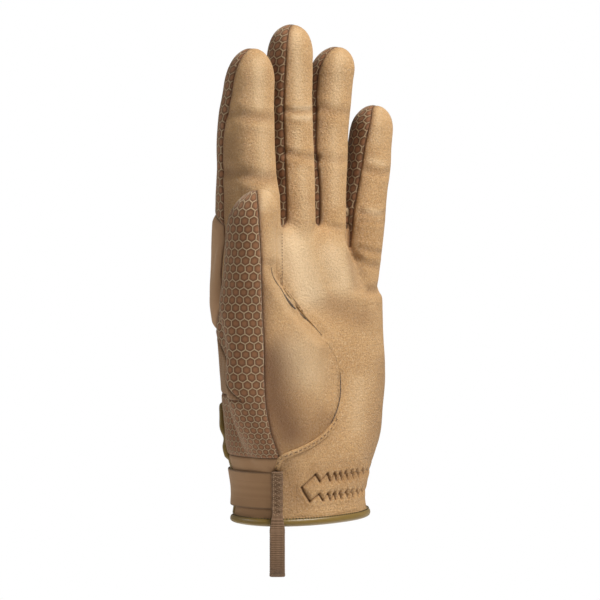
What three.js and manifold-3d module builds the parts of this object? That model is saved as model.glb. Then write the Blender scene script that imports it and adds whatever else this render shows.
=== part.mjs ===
// Left-hand tactical glove in its worn form, open at the wrist.
// Millimetres. +Z runs up along the fingers, the palm faces -Y and the thumb is on the -X side.
// The origin is the centre of the cuff opening, in the plane of the hem.
import * as THREE from 'three';
import Module from 'manifold-3d';

const wasm = await Module();
wasm.setup();

// Driving sizes
const WALL = 1.3;            // leather and mesh thickness
const SEAM = 0.35;           // open line between two panels that are sewn edge to edge
const GAP = 0.3;             // air between the glove and what lies on it
const HEM_EDGE = 1.0;        // where the wall ends, inside the hem binding
const HEM_TOP = 3.4;         // top of the hem binding
const CUFF_TOP = 27.3;       // top of the woven cuff band
const KNUCKLE_LOW = 82;      // lower edge of the knuckle panel
const BINDING_PROUD = 1.3;   // how far a binding stands out of the wall
const LINING = -2.2;         // outer side of a binding's inner leaf, clear of the wall's flat sides
const LEAF = 0.8;            // thickness of that leaf
const TAPE = 1.0;            // thickness of the stitched tapes
const STRAP = 1.4;           // thickness of the closure strap
const FINGER_SIDES = 14;
const PALM_SIDES = 28;
const FAR = 62;              // beyond the hand on every side
const BELOW = -4;            // under the hem
const HEM_STEPS = 22;
const STRAP_STEPS = 13;
const CAP_STEPS = [0, 0.42, 0.72, 0.91];     // part of the way up a fingertip
const INNER_CAP_STEPS = [0, 0.55, 0.87];
const CAP_POWER = 2.3;       // squareness of a fingertip from the side

// Sections up each finger. x and y: centre, across: half width, deep: half depth, power: squareness.
const FINGERS = {
  index: { tip: { z: 199, x: -32.9, y: -5.5 }, rows: [
    { z: 84, x: -28, y: 3, across: 8, deep: 10 },
    { z: 93, x: -28, y: 3, across: 12, deep: 17 },
    { z: 115, x: -29.6, y: 1.2, across: 11.2, deep: 16.6 },
    { z: 137, x: -31, y: -0.5, across: 10.7, deep: 15.2 },
    { z: 148, x: -31.9, y: -0.8, across: 10.7, deep: 13.3 },
    { z: 159, x: -32.6, y: -1.2, across: 10.7, deep: 12.8 },
    { z: 171, x: -32.8, y: -2, across: 10.5, deep: 11.8 },
    { z: 182, x: -32.6, y: -3.2, across: 10, deep: 10.3 }] },
  middle: { tip: { z: 209.5, x: -11.3, y: -6 }, rows: [
    { z: 95, x: -9, y: 2, across: 9.5, deep: 14 },
    { z: 115, x: -9.2, y: 1, across: 10, deep: 15 },
    { z: 137, x: -9.4, y: 0, across: 10, deep: 14.3 },
    { z: 159, x: -9.7, y: -0.8, across: 10.1, deep: 12.2 },
    { z: 171, x: -10.4, y: -1.6, across: 10, deep: 11.4 },
    { z: 182, x: -10.6, y: -2.8, across: 9.8, deep: 10.1 },
    { z: 195, x: -10.8, y: -4.3, across: 9.4, deep: 9.3 }] },
  ring: { tip: { z: 200.6, x: 13.7, y: -6.5 }, rows: [
    { z: 95, x: 10, y: 3, across: 9.5, deep: 13 },
    { z: 115, x: 10.2, y: 2.2, across: 9.8, deep: 14 },
    { z: 137, x: 10.4, y: 1.5, across: 9.8, deep: 13.6 },
    { z: 148, x: 10.9, y: 1, across: 9.9, deep: 12.7 },
    { z: 159, x: 11.1, y: 0, across: 10, deep: 11.7 },
    { z: 171, x: 11.8, y: -1.2, across: 9.8, deep: 10.9 },
    { z: 187, x: 13, y: -3.5, across: 9.4, deep: 9.6 }] },
  little: { tip: { z: 176, x: 33.6, y: -9 }, rows: [
    { z: 88, x: 27, y: -1, across: 8.5, deep: 11 },
    { z: 110, x: 28, y: -3, across: 9.3, deep: 12.2 },
    { z: 127, x: 29.2, y: -4.5, across: 9.3, deep: 11.8 },
    { z: 137, x: 30.5, y: -5, across: 9.3, deep: 11.1 },
    { z: 148, x: 32.1, y: -5.8, across: 9.2, deep: 10.2 },
    { z: 163, x: 33.2, y: -7.2, across: 8.9, deep: 9.1 }] },
};
const FINGER_POWER = 2.3;

const THUMB = { tip: { z: 141, x: -43.5, y: -22.5 }, rows: [
  { z: 19, x: -16, y: -6, across: 14, deep: 9, power: 2.2 },
  { z: 30, x: -18, y: -9, across: 18, deep: 11, power: 2.2 },
  { z: 45, x: -22, y: -11, across: 24, deep: 11.5, power: 2.1 },
  { z: 60, x: -26, y: -13, across: 26, deep: 12, power: 2 },
  { z: 77, x: -29, y: -15.5, across: 25, deep: 13, power: 1.8 },
  { z: 90, x: -38, y: -16, across: 19, deep: 12, power: 2 },
  { z: 97, x: -41, y: -17, across: 16, deep: 12, power: 2.2 },
  { z: 106, x: -46.5, y: -19.5, across: 10.6, deep: 10.5, power: 2.2 },
  { z: 118, x: -46.8, y: -20.3, across: 10, deep: 10.2, power: 2.2 },
  { z: 128, x: -46.5, y: -21.2, across: 9.8, deep: 9.8, power: 2.2 }] };

// Sections up the hand. front and back: depth on the palm side and on the knuckle side.
const HAND = [
  { z: 0, x: -0.3, across: 30.8, front: 22.6, back: 22.6, power: 2.2 },
  { z: 12, x: -0.9, across: 29.6, front: 22.6, back: 22.6, power: 2.2 },
  { z: 21, x: -0.3, across: 32.6, front: 22.4, back: 22.4, power: 2.2 },
  { z: 25, x: 0.2, across: 34.8, front: 22.1, back: 22.1, power: 2.2 },
  { z: 33.6, x: 0.8, across: 38.2, front: 21.5, back: 21.5, power: 2.3 },
  { z: 42, x: 1.3, across: 39.6, front: 20.5, back: 20.5, power: 2.4 },
  { z: 59, x: 1.2, across: 42, front: 18.6, back: 18.6, power: 2.5 },
  { z: 76, x: 0, across: 42.6, front: 18, back: 18.4, power: 2.5 },
  { z: 93, x: -1.3, across: 43.2, front: 17, back: 20.5, power: 2.6 },
  { z: 102, x: -1.3, across: 42.8, front: 16, back: 19, power: 2.6 },
  { z: 110, x: -1, across: 42.3, front: 15, back: 17, power: 2.6 },
  { z: 116, x: -1, across: 41.4, front: 13, back: 14, power: 2.6 },
  { z: 120, x: -1, across: 39.6, front: 9, back: 9, power: 2.6 },
  { z: 122.5, x: -1, across: 37.5, front: 4, back: 4, power: 2.6 }];
const CROWN = HAND[HAND.length - 1];
const CROWN_ROWS = 3;

// The knuckle line falls towards the little finger: drop at x, in full above the second height.
const DROP = [{ x: 0, drop: 0 }, { x: 20, drop: 9 }, { x: 40, drop: 16 }];
const DROP_FROM = 90;
const DROP_FULL = 118;

// The side seam: part of a finger's depth in front of its middle, on its inner sides and on the hand's edges
const SIDE_SEAM = { inner: 0.77, edge: 0.03, tipRise: 3, heights: [104, 115, 127, 137, 148, 159, 171, 182, 190,
  197, 204, 214] };
const INDEX_EDGE = { z: 92.7, y: 0, across: [-FAR, -40, -18] };
const LITTLE_EDGE = { low: -2, high: 85, y: 2, across: [12, 38, FAR] };
// The seam at the finger bases, on the back: this much under the crotches, higher towards the knuckle side
const FINGER_BASE = { under: 2, from: -8, slope: 0.45, depths: [0, 10, 30] };
const PARTING = [-1.5, 6, 16, 28];    // heights over a crotch

// Palm seams as seen from the front: the fold at the thumb, the ball of the thumb, down to the cuff.
const THUMB_FOLD = [[-28.2, 98.8], [-25, 97], [-19, 90], [-12, 83.5], [-4, 77], [3, 70], [7.5, 60],
  [8, 51], [5.6, 46], [1.2, 38.8], [-11, 32.3], [-22.3, 27.6], [-25.6, 23], [-26, -2]];
const INDEX_SEAM = [[-19.1, 126], [-20, 118], [-24.9, 96.5]];
// Seam up the front of the thumb's base, then round the thumb itself.
const THUMB_SEAM_LOW = [[-48.7, 108], [-48.5, 105], [-47, 97], [-47, 93], [-44, 76], [-39.2, 53],
  [-33.6, 37.5], [-25.3, 27]];
const THUMB_SEAM_TURN = 12;  // degrees from the palm's normal
// Seam between the thumb and the back of the hand: a point on the surface and the way out there.
const BACK_SEAM = [
  { z: -2, x: -25.5, y: 15.8, out: [-0.743, 0.669] },
  { z: 47, x: -31.5, y: 13, out: [-0.743, 0.669] },
  { z: 60, x: -35.5, y: 11, out: [-0.8, 0.6] },
  { z: 80, x: -38.5, y: 8.5, out: [-0.9, 0.43] },
  { z: 93, x: -43, y: 0, out: [-1, 0] },
  { z: 102.5, x: -43, y: -9, out: [-1, 0] }];
const THUMB_CROTCH = { from: 97.5, to: 108 };

// Heights, and angles in degrees about the wrist from the palm's normal towards the little finger
const VENT = [
  { z: -9, turn: -122, width: 8.2 },
  { z: 12, turn: -119, width: 7.6 },
  { z: 27, turn: -115, width: 6.4 },
  { z: 40, turn: -113, width: 3.6 }];
const VENT_TOP = { z: 47, turn: -112 };
const VENT_CLEAR = 0.8;      // from the binding of the vent to the wall's edge
const STRAP_AREA = { low: 5.5, high: 22.5, front: -64, back: -202 };
const PATCH = [[-14, 52.7], [22, 52.7], [9, 75]];     // y, z of the corners of the patch above the vent
const PATCH_CENTRE = [5.7, 60];
const GATHER = { from: -27, to: 84, low: 7.6, high: 19.2, tooth: 3.2, pitch: 11, point: 13.7, raised: 0.8 };
const WELT_WIDTH = 2.1;
const WRIST_RADIUS = 29;

const LOOP = { x: -27.5, y: -16.1, turn: -41.5, top: 20.5, sewn: 3, low: -24, width: 6.8, narrow: 5.4,
  ply: 1.1, eye: 7.6 };

// Colours
const LEATHER = { color: 0xbc9b72, roughness: 0.75, metalness: 0 };
const MESH = { color: 0x8a6a4a, roughness: 0.9, metalness: 0 };
const FABRIC = { color: 0x8b6b50, roughness: 0.9, metalness: 0 };
const BAND = { color: 0x806246, roughness: 0.95, metalness: 0 };
const WEBBING = { color: 0x755b44, roughness: 0.9, metalness: 0 };
const BINDING = { color: 0x8f7d50, roughness: 0.6, metalness: 0 };

const radians = THREE.MathUtils.degToRad;

function between(table, key, at, value) {
  // Value of a column at a place between two rows, held at both ends
  const last = table.length - 1;
  if (at <= table[0][key]) return table[0][value];
  if (at >= table[last][key]) return table[last][value];
  const i = table.findIndex((row) => row[key] > at) - 1;
  const t = (at - table[i][key]) / (table[i + 1][key] - table[i][key]);
  return THREE.MathUtils.lerp(table[i][value], table[i + 1][value], t);
}

function dropAt(x, z) {
  return between(DROP, 'x', x, 'drop') * THREE.MathUtils.smoothstep(z, DROP_FROM, DROP_FULL);
}

// Closed bodies

function solid(vertices, triangles) {
  const mesh = new wasm.Mesh({
    numProp: 3,
    vertProperties: Float32Array.from(vertices.flat()),
    triVerts: Uint32Array.from(triangles.flat()),
  });
  return new wasm.Manifold(mesh);
}

function joined(list) {
  return list.reduce((sum, body) => sum.add(body));
}

function loft(rings, low, high) {
  // Rings of equal length, counter-clockwise seen from above, closed by a fan to a point at each end
  const n = rings[0].length;
  const vertices = [...rings.flat(), low, high];
  const lowId = vertices.length - 2;
  const highId = vertices.length - 1;
  const top = (rings.length - 1) * n;
  const triangles = [];
  for (let i = 0; i < n; i++) {
    const j = (i + 1) % n;
    triangles.push([lowId, j, i], [highId, top + i, top + j]);
    for (let k = 0; k < rings.length - 1; k++) {
      const a = k * n;
      triangles.push([a + i, a + j, a + n + j], [a + i, a + n + j, a + n + i]);
    }
  }
  return solid(vertices, triangles);
}

function slab(rows, move) {
  // A sheet of points, row by row, and a copy of it that each row's move carries away; closed at its edges
  const across = rows[0].length;
  const count = rows.length * across;
  const points = rows.flat();
  const vertices = [...points, ...rows.flatMap((row, r) => row.map((p) => p.map((v, axis) => v + move(r)[axis])))];
  const id = (r, c) => r * across + c;
  const triangles = [];
  const quad = (a, b, c, d) => triangles.push([a, b, c], [a, c, d]);
  for (let r = 0; r < rows.length - 1; r++) {
    for (let c = 0; c < across - 1; c++) {
      const q = [id(r, c), id(r, c + 1), id(r + 1, c + 1), id(r + 1, c)];
      quad(q[0], q[3], q[2], q[1]);
      quad(q[0] + count, q[1] + count, q[2] + count, q[3] + count);
    }
    quad(id(r, 0), id(r, 0) + count, id(r + 1, 0) + count, id(r + 1, 0));
    const e = across - 1;
    quad(id(r + 1, e), id(r + 1, e) + count, id(r, e) + count, id(r, e));
  }
  for (let c = 0; c < across - 1; c++) {
    const r = rows.length - 1;
    quad(id(0, c + 1), id(0, c + 1) + count, id(0, c) + count, id(0, c));
    quad(id(r, c), id(r, c) + count, id(r, c + 1) + count, id(r, c + 1));
  }
  return orient(vertices, triangles);
}

function orient(vertices, triangles) {
  // The same body with its faces turned out
  let volume = 0;
  for (const [a, b, c] of triangles) {
    const [p, q, r] = [a, b, c].map((i) => new THREE.Vector3(...vertices[i]));
    volume += p.dot(q.cross(r));
  }
  return solid(vertices, volume > 0 ? triangles : triangles.map(([a, b, c]) => [a, c, b]));
}

function prism(outline, ...places) {
  // A flat outline carried from place to place, closed at the first and the last
  const shape = outline.map(([a, b]) => new THREE.Vector2(a, b));
  const n = outline.length;
  const vertices = places.flatMap((place) => outline.map((p) => place(...p)));
  const last = (places.length - 1) * n;
  const triangles = THREE.ShapeUtils.triangulateShape(shape, []).flatMap(([a, b, c]) =>
    [[a, c, b], [a + last, b + last, c + last]]);
  const clockwise = THREE.ShapeUtils.area(shape) < 0;
  for (let k = 0; k < last; k += n) {
    for (let i = 0; i < n; i++) {
      const ends = [i, (i + 1) % n];
      const [p, q] = (clockwise ? ends.reverse() : ends).map((v) => v + k);
      triangles.push([p, q, q + n], [p, q + n, p + n]);
    }
  }
  return orient(vertices, triangles);
}

function frontPrism(outline, front, back) {
  // Outline in x and z, carried through y
  return prism(outline, (x, z) => [x, front, z], (x, z) => [x, back, z]);
}

function wristPrism(outline) {
  // Outline in degrees about the wrist and height, carried out through the wall
  return prism(outline, ...[-8, 12].map((grow) => (degrees, z) => wristPoint(degrees, z, grow)));
}

function wristPoint(degrees, z, grow) {
  // A point on the cuff, some way off its surface
  const [x, across, deep, power] = ['x', 'across', 'front', 'power'].map((key) => between(HAND, 'z', z, key));
  const a = radians(degrees);
  const reach = Math.abs(Math.sin(a) / (across + grow)) ** power + Math.abs(Math.cos(a) / (deep + grow)) ** power;
  const radius = reach ** (-1 / power);
  return [x + radius * Math.sin(a), -radius * Math.cos(a), z];
}

function box(x0, x1, y0, y1, z0, z1) {
  const size = new THREE.BoxGeometry(x1 - x0, y1 - y0, z1 - z0);
  size.translate((x0 + x1) / 2, (y0 + y1) / 2, (z0 + z1) / 2);
  const p = size.getAttribute('position');
  const keys = new Map();
  const vertices = [];
  const id = [];
  for (let i = 0; i < p.count; i++) {
    const v = [p.getX(i), p.getY(i), p.getZ(i)];
    if (!keys.has(v.join())) keys.set(v.join(), vertices.push(v) - 1);
    id.push(keys.get(v.join()));
  }
  const index = Array.from(size.index.array, (i) => id[i]);
  return solid(vertices, Array.from({ length: index.length / 3 }, (_, t) => index.slice(3 * t, 3 * t + 3)));
}

function thickLine(points, halfWidth) {
  // Outline of a line of some width, its corners mitred
  const side = (s) => points.map((p, i) => {
    const a = points[Math.max(i - 1, 0)];
    const b = points[Math.min(i + 1, points.length - 1)];
    const length = Math.hypot(b[0] - a[0], b[1] - a[1]);
    return [p[0] - s * (b[1] - a[1]) / length * halfWidth, p[1] + s * (b[0] - a[0]) / length * halfWidth];
  });
  return [...side(1), ...side(-1).reverse()];
}

// The hand form, grown or shrunk by a distance

function ring(row, grow, sides, level) {
  const across = row.across + grow;
  const power = 2 / (row.power ?? FINGER_POWER);
  const points = [];
  for (let i = 0; i < sides; i++) {
    const a = (i + 0.5) / sides * 2 * Math.PI;
    const s = Math.sin(a);
    const c = Math.cos(a);
    const deep = (row.deep ?? (c > 0 ? row.front : row.back)) + grow;
    const x = row.x + across * Math.sign(s) * Math.abs(s) ** power;
    const y = (row.y ?? 0) - deep * Math.sign(c) * Math.abs(c) ** power;
    points.push([x, y, level ? level(x) : row.z]);
  }
  return points;
}

function digit({ tip, rows }, grow) {
  // A closed finger or thumb: its sections, then a rounded end
  const last = rows[rows.length - 1];
  const cap = tip.z + grow - last.z;
  const rings = rows.slice(0, -1).map((row) => ring(row, grow, FINGER_SIDES));
  for (const t of grow < -1 ? INNER_CAP_STEPS : CAP_STEPS) {
    const shrink = Math.sqrt(1 - t ** CAP_POWER);
    const row = {
      ...last,
      z: last.z + t * cap,
      x: THREE.MathUtils.lerp(last.x, tip.x, t),
      y: THREE.MathUtils.lerp(last.y, tip.y, t),
      across: (last.across + grow) * shrink - grow,
      deep: (last.deep + grow) * shrink - grow,
    };
    rings.push(ring(row, grow, FINGER_SIDES));
  }
  const first = rows[0];
  return loft(rings, [first.x, first.y, first.z], [tip.x, tip.y, tip.z + grow]);
}

function hand(grow, from) {
  const rows = [{ ...HAND[0], z: from }, ...HAND.slice(1)];
  const rings = rows.map((row, i) => {
    const z = row.z + (i < HAND.length - CROWN_ROWS ? 0 : grow);
    return ring(row, grow, PALM_SIDES, (x) => z - dropAt(x, z));
  });
  const top = CROWN.z + grow;
  return loft(rings, [0, 0, from], [CROWN.x, 0, top - dropAt(CROWN.x, top)]);
}

function form(grow, from) {
  const digits = [...Object.values(FINGERS), THUMB].map((d) => digit(d, grow));
  return joined([hand(grow, from), ...digits]);
}

function layer(low, high) {
  // The space between two distances off the surface
  return form(high, BELOW).subtract(form(low, BELOW - 2));
}

// Seams, cut as thin slabs

function sideSeamRow(z) {
  // Where the palm side meets the back at one height: both sides of each finger, then the hand's edge
  const corner = (name, side) => {
    const { tip, rows } = FINGERS[name];
    const at = (key) => between([...rows, { ...rows[rows.length - 1], ...tip }], 'z', z, key);
    const outer = (name === 'index' && side < 0) || (name === 'little' && side > 0);
    const lift = THREE.MathUtils.smoothstep(z, tip.z - 8, tip.z - 2);
    const y = at('y') - at('deep') * (outer ? SIDE_SEAM.edge : SIDE_SEAM.inner);
    return [at('x') + side * at('across'), THREE.MathUtils.lerp(y, tip.y + SIDE_SEAM.tipRise, lift), z];
  };
  const names = Object.keys(FINGERS);
  const points = names.flatMap((name) => [corner(name, -1), corner(name, 1)]);
  for (const i of [1, 3, 5]) {
    const middle = (points[i][0] + points[i + 1][0]) / 2;
    points[i][0] = Math.min(points[i][0], middle - SEAM);
    points[i + 1][0] = Math.max(points[i + 1][0], middle + SEAM);
  }
  return [[-FAR, points[0][1], z], ...points, [FAR, points[points.length - 1][1], z]];
}

function curtain(line, front, back) {
  return frontPrism(thickLine(line, SEAM / 2), front, back);
}

function seams() {
  const sides = slab(SIDE_SEAM.heights.map(sideSeamRow), () => [0, SEAM, 0]);
  const [first] = SIDE_SEAM.heights;
  const flat = (z, { y, across }) => across.map((x) => [x, y, z]);
  const high = (from, to) => [first, first + 1].map((z) => sideSeamRow(z).slice(from, to));
  const indexEdge = slab([flat(INDEX_EDGE.z, INDEX_EDGE), ...high(0, 3)], () => [0, SEAM, 0]);
  const littleEdge = slab([flat(LITTLE_EDGE.low, LITTLE_EDGE), flat(LITTLE_EDGE.high, LITTLE_EDGE), ...high(7)],
    () => [0, SEAM, 0]);

  const crotch = (x) => CROWN.z - between(DROP, 'x', x, 'drop');
  const base = ([x, y]) => crotch(x) - FINGER_BASE.under + (y - FINGER_BASE.from) * FINGER_BASE.slope;
  const fingerBase = slab(sideSeamRow(first).map((_, i) => {
    const [x, y] = sideSeamRow(base(sideSeamRow(CROWN.z)[i]))[i];
    return [y + SEAM / 2, ...FINGER_BASE.depths].map((back) => [x, Math.max(back, y), base([x, Math.max(back, y)])]);
  }), () => [0, 0, SEAM]);

  const partings = [2, 4, 6].map((i) => slab(PARTING.map((up) => {
    const z = crotch(sideSeamRow(CROWN.z)[i][0]) + up;
    const row = sideSeamRow(z);
    const x = (row[i][0] + row[i + 1][0]) / 2 - SEAM / 2;
    return [[x, -30, z], [x, 30, z]];
  }), () => [SEAM, 0, 0]));

  const backSeam = slab(BACK_SEAM.map(({ z, x, y, out }) => [-16, z > 90 ? 8 : 14].map((d) =>
    [x + out[0] * d, y + out[1] * d, z])), (r) => {
    const [x, y] = BACK_SEAM[r].out;
    return [y * SEAM, -x * SEAM, 0];
  });
  const knuckles = slab([[-FAR, 7.5], [0, 2], [FAR, 2]].map(([x, y]) =>
    [[x, y, KNUCKLE_LOW], [x, 35, KNUCKLE_LOW]]), () => [0, 0, SEAM]);

  const thumbFold = curtain(THUMB_FOLD, -45, -5);
  const sleeve = digit(THUMB, SEAM).subtract(digit(THUMB, -0.02));
  const thumbCrotch = sleeve.intersect(box(-FAR, 0, -FAR, 0, THUMB_CROTCH.from, THUMB_CROTCH.to));
  const indexSeam = curtain(INDEX_SEAM, -45, -5);
  const thumbLow = curtain(THUMB_SEAM_LOW, -45, -12);
  const turn = radians(THUMB_SEAM_TURN);
  const thumbHigh = slab([98.5, 106, 118, 128, 145].map((z, i) => {
    const [x, y] = ['x', 'y'].map((key) => between([...THUMB.rows, THUMB.tip], 'z', z, key));
    return [i ? -25 : -4, 16].map((d) => [x + d * Math.sin(turn), y + d * Math.cos(turn), z]);
  }), () => [SEAM, 0, 0]);

  const cuffFront = box(-FAR, -22, -45, 5, CUFF_TOP, CUFF_TOP + SEAM);
  const cuffBack = box(-FAR, FAR, 2.1, 45, CUFF_TOP, CUFF_TOP + SEAM);

  return joined([sides, indexEdge, littleEdge, fingerBase, ...partings, backSeam, knuckles, thumbFold,
    thumbCrotch, indexSeam, thumbLow, thumbHigh, cuffFront, cuffBack]);
}

// The vent at the back of the thumb side, as an outline that can be grown

function ventOutline(grow) {
  const angle = (width) => THREE.MathUtils.radToDeg((width / 2 + grow) / WRIST_RADIUS);
  const side = (s) => VENT.map(({ z, turn, width }) => [turn + s * angle(width), z]);
  return [...side(1), [VENT_TOP.turn, VENT_TOP.z + grow * 2], ...side(-1).reverse()];
}

// The glove's wall, cut into its panels

function patchPrism(grow) {
  const outline = PATCH.map(([y, z]) => {
    const away = new THREE.Vector2(y - PATCH_CENTRE[0], z - PATCH_CENTRE[1]);
    away.setLength(away.length() + grow * 2);
    return [PATCH_CENTRE[0] + away.x, PATCH_CENTRE[1] + away.y];
  });
  return prism(outline, (y, z) => [-FAR, y, z], (y, z) => [-17, y, z]);
}

const outside = form(0, HEM_EDGE);
const inside = form(-WALL, BELOW);
const vent = wristPrism(ventOutline(VENT_CLEAR));
const wall = outside.subtract(inside).subtract(vent);
const backPatch = wall.intersect(patchPrism(0));
const panels = wall.subtract(patchPrism(SEAM)).subtract(seams()).decompose();

function panelAt(x, y, z) {
  const probe = box(x - 3, x + 3, y - 3, y + 3, z - 2, z + 2);
  const shared = panels.map((panel) => panel.intersect(probe).volume());
  return panels[shared.indexOf(Math.max(...shared))];
}

// Bindings, tapes, strap and loop

const channel = (near, edge, far) => [[near, BINDING_PROUD], [far, BINDING_PROUD], [far, 2 * GAP], [edge, 2 * GAP],
  [edge, LINING], [far, LINING], [far, LINING - LEAF], [near, LINING - LEAF]];
const ventTurn = (z, side, off) => {
  const [turn, width] = ['turn', 'width'].map((key) => between([...VENT, { ...VENT_TOP, width: 0 }], 'z', z, key));
  return turn + side * THREE.MathUtils.radToDeg((width / 2 + off) / WRIST_RADIUS);
};

function hemBinding() {
  // A folded binding round the hem, open at the vent
  const start = ventTurn(0, 1, BINDING_PROUD);
  const end = ventTurn(0, -1, BINDING_PROUD) + 360;
  const places = Array.from({ length: HEM_STEPS + 1 }, (_, i) => (z, grow) =>
    wristPoint(THREE.MathUtils.lerp(start, end, i / HEM_STEPS), z, grow));
  return prism(channel(0, HEM_EDGE - GAP, HEM_TOP), ...places);
}

function ventBinding() {
  // The same binding up one side of the vent and down the other
  const up = [HEM_TOP + GAP, ...HAND.slice(1, 6).map((row) => row.z), VENT_TOP.z - 2];
  const side = (s) => up.map((z) => (w, grow) => wristPoint(ventTurn(z, s, w), z, grow));
  const top = (w, grow) => wristPoint(VENT_TOP.turn, VENT_TOP.z + w * 1.3, grow);
  return prism(channel(-0.6, 0.2, 1.9), ...side(1), top, ...side(-1).reverse());
}

function strap() {
  const { low, high, front, back } = STRAP_AREA;
  const base = BINDING_PROUD + GAP + 0.15;
  const heights = [low, HAND[1].z, HAND[2].z, high];
  const outline = [...heights.map((z) => [z, base]), ...heights.reverse().map((z) => [z, base + STRAP])];
  const places = Array.from({ length: STRAP_STEPS + 1 }, (_, i) => (z, grow) =>
    wristPoint(THREE.MathUtils.lerp(front, back, i / STRAP_STEPS), z, grow));
  return prism(outline, ...places);
}

function gather() {
  // The raised part over the wrist elastic: two rows of teeth, and a point at the thumb end
  const { from, to, low, high, tooth, pitch, point, raised } = GATHER;
  const ends = [{ turn: from - 7, low: point - 0.4, high: point + 0.4 }];
  for (let i = 0, turn = from; turn <= to; i++, turn += pitch / 2) {
    ends.push({ turn, low: low + (i % 2) * tooth, high: high - (i % 2) * tooth });
  }
  const rows = ends.map((e) => [e.low, e.high].map((z) => wristPoint(e.turn, z, GAP + 0.1)));
  return slab(rows, (r) => {
    const a = radians(ends[r].turn);
    return [Math.sin(a) * raised, -Math.cos(a) * raised, 0];
  });
}

const tapeLayer = layer(GAP, GAP + TAPE);
const weltLine = THUMB_FOLD.slice(9, 13).map(([x, z]) => [x - 0.6, z - 1.6]);
const thumbWelt = tapeLayer.intersect(frontPrism(thickLine(weltLine, WELT_WIDTH / 2), -45, -5));
const foldLine = [[-24.4, 98.4], [-18.2, 91], [-11.4, 84.4], [-7, 80.8]];
const foldWelt = tapeLayer.intersect(frontPrism(thickLine(foldLine, WELT_WIDTH / 2), -45, -5));

function pullLoop() {
  // Webbing doubled on itself: sewn flat on the cuff, then hanging as a narrow eye below the hem
  const { x, y, turn, top, sewn, low, width, narrow, ply, eye } = LOOP;
  const path = [[top, 0], [sewn, 0], [sewn - 6, eye * 0.4], [sewn - 13, eye * 0.5], [low + 5, eye * 0.42],
    [low + 1.2, eye * 0.26]];
  const away = (offset) => path.map(([z, half]) => [half + offset, z]);
  const outer = [...away(ply), [0, low], ...away(ply).reverse().map(([d, z]) => [-d, z])];
  const side = path.slice(1).map(([z, half]) => [half, z]);
  const inner = [...side, [0, low + ply], ...side.slice(1).reverse().map(([d, z]) => [-d, z])];
  const angle = radians(turn);
  const out = [Math.sin(angle), -Math.cos(angle)];
  const across = [Math.cos(angle), Math.sin(angle)];
  const centre = ply + 0.2;
  const place = (edge, more = 0) => (d, z) => {
    const half = edge * ((z > sewn - 3 ? narrow : width) / 2 + more);
    return [x + out[0] * (d + centre) + across[0] * half, y + out[1] * (d + centre) + across[1] * half, z];
  };
  return prism(outer, place(-1), place(1)).subtract(prism(inner, place(-1, 5), place(1, 5)));
}

// The named sub-parts

const glove = new THREE.Group();

function add(name, body, material) {
  const [whole] = body.decompose().sort((a, b) => b.volume() - a.volume());
  const mesh = whole.getMesh();
  const geometry = new THREE.BufferGeometry();
  geometry.setAttribute('position', new THREE.BufferAttribute(Float32Array.from(mesh.vertProperties), 3));
  geometry.setIndex(Array.from(mesh.triVerts));
  const part = new THREE.Mesh(geometry, new THREE.MeshStandardMaterial(material));
  part.name = name;
  glove.add(part);
}

add('palm_panel', panelAt(12, -18, 80), LEATHER);
add('index_panel', panelAt(-33, -14, 148), LEATHER);
add('thumb_panel', panelAt(-18, -26, 70), LEATHER);
add('thumb_mesh', panelAt(-56, -20, 118), MESH);
add('index_back', panelAt(-32.6, 11.6, 159), MESH);
add('middle_back', panelAt(-9.7, 11.4, 159), MESH);
add('ring_back', panelAt(11.1, 11.7, 159), MESH);
add('little_back', panelAt(32.1, 4.4, 148), MESH);
add('knuckle_panel', panelAt(-5, 20, 93), FABRIC);
add('back_mesh', panelAt(5, 18.5, 60), MESH);
add('back_patch', backPatch, FABRIC);
add('cuff_band_outer', panelAt(-33, 0, 15), BAND);
add('cuff_band_back', panelAt(0, 22, 15), BAND);
add('closure_strap', strap(), BAND);
add('vent_binding', ventBinding(), BINDING);
add('hem_binding', hemBinding(), BINDING);
add('thumb_welt', thumbWelt, LEATHER);
add('fold_welt', foldWelt, LEATHER);
add('wrist_elastic', gather(), LEATHER);
add('pull_loop', pullLoop(), WEBBING);

export default glove;
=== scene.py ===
import math

import bmesh
import bpy
import numpy as np
from mathutils import Matrix, Vector, noise
from mathutils.bvhtree import BVHTree
from mathutils.kdtree import KDTree


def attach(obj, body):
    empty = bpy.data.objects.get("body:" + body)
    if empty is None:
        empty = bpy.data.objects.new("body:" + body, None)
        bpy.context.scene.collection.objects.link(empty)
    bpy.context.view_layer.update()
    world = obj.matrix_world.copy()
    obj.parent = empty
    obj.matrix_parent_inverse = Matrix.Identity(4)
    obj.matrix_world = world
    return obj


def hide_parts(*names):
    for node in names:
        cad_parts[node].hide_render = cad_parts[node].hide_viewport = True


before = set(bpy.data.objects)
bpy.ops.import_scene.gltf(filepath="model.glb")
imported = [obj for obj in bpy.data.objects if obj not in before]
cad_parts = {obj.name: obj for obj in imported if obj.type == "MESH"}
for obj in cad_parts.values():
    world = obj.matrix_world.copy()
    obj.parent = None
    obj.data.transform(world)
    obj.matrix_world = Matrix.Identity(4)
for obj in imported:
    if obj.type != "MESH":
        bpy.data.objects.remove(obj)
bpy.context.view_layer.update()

# The view: the palm from the thumb's side, a little from above, through a long lens. The seams, creases,
# painted shade and painted highlights below are measured as this camera sees them: millimetres right of the
# middle, and above the hem.
MM = 0.001
AZIMUTH, ELEVATION, DISTANCE = -42, 3.5, 1200     # degrees, degrees, millimetres
LENS, SENSOR = 169.4, 36
TARGET = Vector((-0.6, 0.6, 93))
camera_turn, camera_tilt = math.radians(AZIMUTH), math.radians(ELEVATION)
look = Vector((-math.sin(camera_turn) * math.cos(camera_tilt), math.cos(camera_turn) * math.cos(camera_tilt),
               -math.sin(camera_tilt)))
camera = bpy.data.objects.new("camera", bpy.data.cameras.new("camera"))
camera.data.sensor_width, camera.data.lens = SENSOR, LENS
camera.location = (TARGET - look * DISTANCE) * MM
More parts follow.
